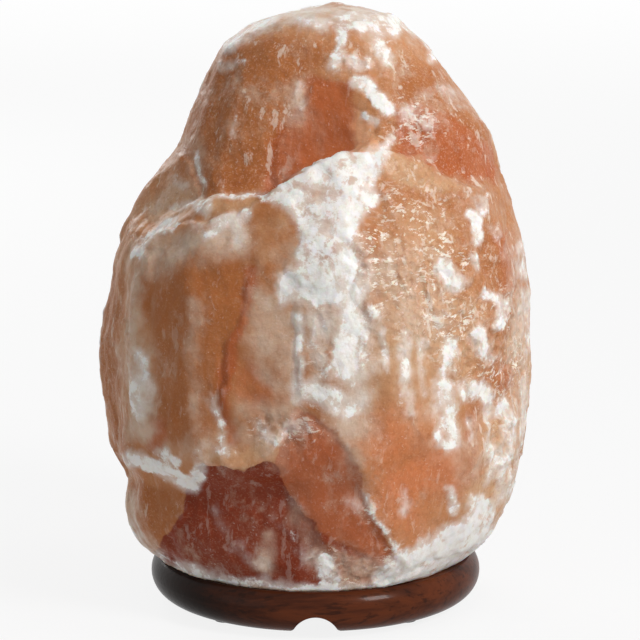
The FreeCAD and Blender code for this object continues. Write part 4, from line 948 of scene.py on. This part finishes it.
class Salt(Shader):
    """The salt's shader.  Its colour is laid on coat by coat, over noises that the coats share."""

    def __init__(self):
        super().__init__("salt")
        warped = self.warp(WARP_SCALE, WARP_REACH)
        self.noises = {name: self.noise(*values) for name, values in PLAIN_NOISES.items()}
        for name, (*values, stretch) in WARPED_NOISES.items():
            self.noises[name] = self.noise(*values, place=warped, stretch=stretch)
        self.broken = self.attribute("broken")
        self.grainy = self.attribute("grainy")
        self.colour = self.mix(self.rise("broad", 0.35, 0.65), SALMON_DEEP, SALMON_LIGHT)

    def rise(self, name, low, high, out_low=0.0, out_high=1.0):
        """A smooth step over one of the noises."""
        return self.step(self.noises[name], low, high, out_low, out_high)

    def coat(self, share, colour):
        self.colour = self.mix(share, self.colour, colour)

    def lay_salts(self):
        """The painted salts, with milky veils all through them."""
        for name, texture, spread, low, high in SALT_LAYERS:
            share = self.cover(self.attribute(name), self.noises[texture], spread, low, high)
            self.coat(self.math("MULTIPLY", share, LAYER_STRENGTH), COLOURS[name])
        self.coat(self.rise("streaks", 0.50, 0.75, 0, 0.22), COLOURS["cloud"])
        self.coat(self.rise("wisps", 0.54, 0.70, 0, 0.42), COLOURS["cloud"])

    def lay_grains(self):
        """Brown spots, light dust, and a painted golden sheen where the salt is broken."""
        spots = self.math("MULTIPLY", self.rise("spots", 0.46, 0.38), self.fade(self.grainy, 0.06, 0.25))
        self.coat(spots, SPOT_BROWN)
        dust = self.math("MULTIPLY", self.rise("dust", 0.52, 0.68), self.fade(self.grainy, 0.08, 0.34))
        self.coat(dust, DUST_AND_SHEEN_GOLD)
        # painted sheen: a golden highlight laid into the colour where the salt is broken
        self.coat(self.math("MULTIPLY", self.rise("sheen", 0.42, 0.62, 0, 0.28), self.broken), DUST_AND_SHEEN_GOLD)

    def lay_flecks(self):
        """White flecks and scratches, crowded where it is grainy, and painted glints (glitter) where it is
        broken.
        """
        crowd = self.math("MULTIPLY_ADD", self.grainy, 0.22, self.rise("cloudy", 0.45, 0.62, 0.05, 0.32))
        flecks = self.math("MULTIPLY", self.rise("flecks", 0.63, 0.68), crowd)
        flecks = self.math("MULTIPLY", flecks, 0.7)
        scratches = self.math("MULTIPLY", self.rise("scratches", 0.58, 0.64, 0, 0.55), self.grainy)
        # painted glints: small highlights laid into the colour where the salt is broken
        dashes = self.rise("dashes", 0.565, 0.590, 0, 0.95)
        splinters = self.rise("splinters", 0.56, 0.60, 0, 0.65)
        swarms = self.rise("swarms", 0.44, 0.56, 0.12, 1)
        painted_glints = self.math("MULTIPLY", self.math("MAXIMUM", dashes, splinters), swarms)
        painted_glints = self.math("MULTIPLY", painted_glints, self.step(self.broken, 0.1, 0.7))
        self.coat(self.math("MAXIMUM", self.math("MAXIMUM", flecks, scratches), painted_glints), FLECK_AND_GLINT_WHITE)

    def lay_bruises(self):
        """Bruised white salt, milky at first and then crusted.  Returns how white each place is."""
        white = self.attribute("frost")
        for name, weight in BRUISES:
            white = self.math("MULTIPLY_ADD", self.attribute(name), weight, white)
        milk = self.cover(white, self.noises["cloudy"], 1.3, 0.10, 1.05)
        crust = self.cover(white, self.noises["fine"], 2.6, 0.50, 1.04)
        white = self.math("MAXIMUM", self.math("MULTIPLY", milk, 0.66), self.math("MULTIPLY", crust, 0.96))
        self.coat(white, self.mix(self.rise("fine", 0.36, 0.58), FROST_SHADE, COLOURS["frost"]))
        return white

    def roughen(self, white):
        """Dents, shallower in the white salt, crackle where it is broken, and flecks that stand out."""
        normal = self.bump(self.noises["dents"], DENT_DEPTH, self.fade(white, 0.5, 0.35))
        crackle = self.math("MULTIPLY_ADD", self.grainy, 0.25, 0.10)
        crackle = self.math("MULTIPLY_ADD", self.broken, 0.75, crackle)
        normal = self.bump(self.cells(CRACKLE_SCALE), CRACKLE_DEPTH, crackle, normal)
        return self.bump(self.noises["flecks"], FLECK_HEIGHT, 0.6, normal)


def salt_material():
    s = Salt()
    s.lay_salts()
    s.lay_grains()
    s.lay_flecks()
    white = s.lay_bruises()
    s.coat(s.math("MULTIPLY", s.attribute("cut"), 0.6), COLOURS["peach"])
    s.set(Base_Color=s.colour, Roughness=s.fade(white, 0.34, 0.62), Normal=s.roughen(white))
    s.set(IOR=1.54, Specular_IOR_Level=0.03, Coat_Weight=0.10, Coat_Roughness=0.10)
    s.set(Subsurface_Weight=0.35, Subsurface_Scale=0.0035, Subsurface_Radius=SALT_SCATTER)
    return s


# -------- the other materials

WOOD_DARK = (0.038, 0.0100, 0.0045)
WOOD_LIGHT = (0.120, 0.0290, 0.0095)
WOOD_PORES = (0.012, 0.005, 0.003)
# the near black of the painted shade on the base's dim side
WOOD_SIDE_SHADE = (0.006, 0.002, 0.001)
WOOD_SHEEN = (1.0, 0.66, 0.54, 1.0)
SIDE_SHADE_ACROSS = (0.0, -0.035)  # m, between which painted shade darkens the base towards its dim side
MOULDED_SHADE = 0.93  # the darker of a material's two tones, as a share of the lighter
METAL_SHADE = 0.82


def wood_material():
    """Lacquered wood, stained brown, with painted shade that darkens it almost to black towards its dimly lit
    side.
    """
    s = Shader("stained_wood")
    grain = s.noise(30, 8, 0.66, 0.8, stretch=(0.35, 1.5, 3.2))
    pores = s.noise(520, 4, 0.65, stretch=(0.12, 1, 1))
    colour = s.mix(s.step(grain, 0.34, 0.68), WOOD_DARK, WOOD_LIGHT)
    colour = s.mix(s.step(pores, 0.52, 0.66, 0, 0.6), colour, WOOD_PORES)
    # painted shade: the base darkens towards one side, where the lamps light it least
    across = s.node("SeparateXYZ", {"Vector": s.place()}).outputs["X"]
    side_shade = s.math("MULTIPLY_ADD", s.noise(22, 4), 0.03, across)
    colour = s.mix(s.step(side_shade, *SIDE_SHADE_ACROSS, 0, 0.95), colour, WOOD_SIDE_SHADE)
    s.set(Base_Color=colour, Roughness=0.30, Normal=s.bump(pores, 0.0003, 0.35))
    s.set(Specular_IOR_Level=0.04, Specular_Tint=WOOD_SHEEN, Coat_Weight=0.13, Coat_Roughness=0.14)
    return s


def moulded(name, colour, roughness):
    """Plastic, rubber or ceramic: two near tones and a fine, dull grain."""
    s = Shader(name)
    tint = s.mix(s.step(s.noise(160, 3), 0.3, 0.7), shade(colour, MOULDED_SHADE), colour)
    gloss = s.step(s.noise(900, 2), 0.3, 0.7, roughness - 0.05, roughness + 0.06)
    s.set(Base_Color=tint, Roughness=gloss, Normal=s.bump(s.noise(2600, 2), 0.00006, 0.3))
    return s


def metal(name, colour, roughness):
    """Worked metal, with its wear and fine marks drawn out upright."""
    s = Shader(name)
    tint = s.mix(s.step(s.noise(220, 4), 0.35, 0.7), shade(colour, METAL_SHADE), colour)
    gloss = s.step(s.noise(520, 3, stretch=(1, 1, 0.1)), 0.3, 0.7, roughness, roughness + 0.12)
    marks = s.noise(1800, 2, stretch=(1, 1, 0.08))
    s.set(Base_Color=tint, Metallic=1.0, Roughness=gloss, Normal=s.bump(marks, 0.00004, 0.3))
    return s


def clear_glass():
    s = Shader("bulb_clear_glass")
    s.set(Base_Color=(0.98, 0.99, 1.0, 1), Roughness=0.02, Transmission_Weight=1.0, IOR=1.47)
    return s


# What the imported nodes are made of: nodes, maker, the material's name, colour and roughness.
BRASS_NODES = ("thread_shell", "centre_contact", "neutral_rivet", "live_rivet", "neutral_terminal",
               "live_terminal")
PIECES = (
    (("rubber_feet",), moulded, "black_rubber", (0.028, 0.028, 0.030), 0.75),
    (("base_screws",), metal, "screw_steel", (0.72, 0.70, 0.60), 0.28),
    (("screw_anchors",), moulded, "anchor_plastic", (0.62, 0.62, 0.60), 0.5),
    (("holder_cap", "holder_skirt", "ring_nut"), moulded, "holder_plastic", (0.80, 0.79, 0.75), 0.36),
    (("holder_core",), moulded, "core_ceramic", (0.78, 0.76, 0.70), 0.6),
    (BRASS_NODES, metal, "contact_brass", (0.82, 0.60, 0.24), 0.2),
    (("terminal_screws",), metal, "terminal_screw_steel", (0.66, 0.66, 0.66), 0.26),
    (("clip_plate", "clip_leg_right", "clip_leg_left"), metal, "clip_steel", (0.46, 0.47, 0.50), 0.3),
    (("bulb_tip",), metal, "bulb_solder", (0.55, 0.55, 0.57), 0.42),
    (("bulb_insulator",), moulded, "bulb_black_glass", (0.015, 0.012, 0.020), 0.15),
    (("bulb_cap",), metal, "bulb_brass", (0.80, 0.66, 0.36), 0.3),
    (("bulb_cement",), moulded, "bulb_cement", (0.60, 0.58, 0.52), 0.85),
    (("bulb_leads", "filament_hooks"), metal, "lead_wire", (0.55, 0.52, 0.48), 0.35),
    (("bulb_filament",), metal, "tungsten", (0.22, 0.22, 0.23), 0.4),
)


def dress(names, shader):
    """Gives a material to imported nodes."""
    for name in names:
        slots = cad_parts[name].data.materials
        slots.clear()
        slots.append(shader.material)


def dress_packed_nodes():
    dress(["wood_base"], wood_material())
    dress(["bulb_glass", "bulb_stem"], clear_glass())
    for names, make, name, colour, roughness in PIECES:
        dress(names, make(name, colour, roughness))


# -------- floor, sky and lamps

AMBIENT = 0.26
LAMPS = (  # name, place (m), power (W), side (m)
    ("key", (0.78, -0.70, 0.85), 10.2, 0.35),
    ("fill", (-1.00, -0.80, 0.35), 1.0, 0.80),
    ("top", (0.40, -0.10, 1.10), 1.7, 0.30),
    ("rear", (-0.50, 1.00, 0.60), 5.2, 0.60),
)
LAMP_AIM = (0, 0, 0.1)  # m
FLOOR_HALF = 6.0  # m, half a side
FLOOR_LEVEL = -0.0001  # m, a hair below the feet, so that their undersides show from below
FLOOR_GREY = (0.70, 0.70, 0.70, 1)
FLOOR_GLOW = 0.86  # the share of plain white in what is seen of the floor round the lamp
GLOW_REACH = (0.5, 2.2)  # m from the lamp, between which that share rises to 1
WHITE = (1, 1, 1, 1)


def make_sky():
    """White to look at, and a fainter white light on everything else."""
    world = bpy.data.worlds.new("studio")
    world.use_nodes = True
    bpy.context.scene.world = world
    world.node_tree.nodes.clear()
    t = Tree(world.node_tree)
    light = t.node("Background", {"Color": WHITE, "Strength": AMBIENT}).outputs[0]
    white = t.node("Background", {"Color": WHITE, "Strength": 1.0}).outputs[0]
    blend = t.node("MixShader", {0: t.shown(), 1: light, 2: white})
    t.node("OutputWorld", {"Surface": blend.outputs[0]})


def make_lamp(name, place, power, side):
    data = bpy.data.lights.new(name, "AREA")
    data.shape = "SQUARE"
    data.size = side
    data.energy = power
    lamp = bpy.data.objects.new(name, data)
    lamp.location = place
    lamp.rotation_euler = (Vector(LAMP_AIM) - Vector(place)).to_track_quat("-Z", "Y").to_euler()
    bpy.context.scene.collection.objects.link(lamp)


def floor_material():
    """A grey floor that takes shadows, seen mostly as plain white."""
    s = Shader("floor")
    s.set(Base_Color=FLOOR_GREY, Roughness=0.8, Specular_IOR_Level=0.1)
    white = s.node("Emission", {"Strength": 1.0})
    away = s.node("VectorMath", {0: s.place()}, operation="LENGTH").outputs["Value"]
    share = s.math("MULTIPLY", s.shown(), s.step(away, *GLOW_REACH, FLOOR_GLOW, 1.0))
    blend = s.node("MixShader", {0: share, 1: s.surface.outputs[0], 2: white.outputs[0]})
    s.put(s.tree.nodes["Material Output"].inputs["Surface"], blend.outputs[0])
    return s


def make_floor():
    corners = [(x * FLOOR_HALF, y * FLOOR_HALF, FLOOR_LEVEL) for x, y in ((-1, -1), (1, -1), (1, 1), (-1, 1))]
    mesh = bpy.data.meshes.new("floor")
    mesh.from_pydata(corners, [], [(0, 1, 2, 3)])
    mesh.materials.append(floor_material().material)
    floor = bpy.data.objects.new("floor", mesh)
    bpy.context.scene.collection.objects.link(floor)


make_camera()
make_sky()
make_floor()
for lamp in LAMPS:
    make_lamp(*lamp)
dress_packed_nodes()
make_salt_block()
bpy.context.scene.view_settings.view_transform = "Standard"
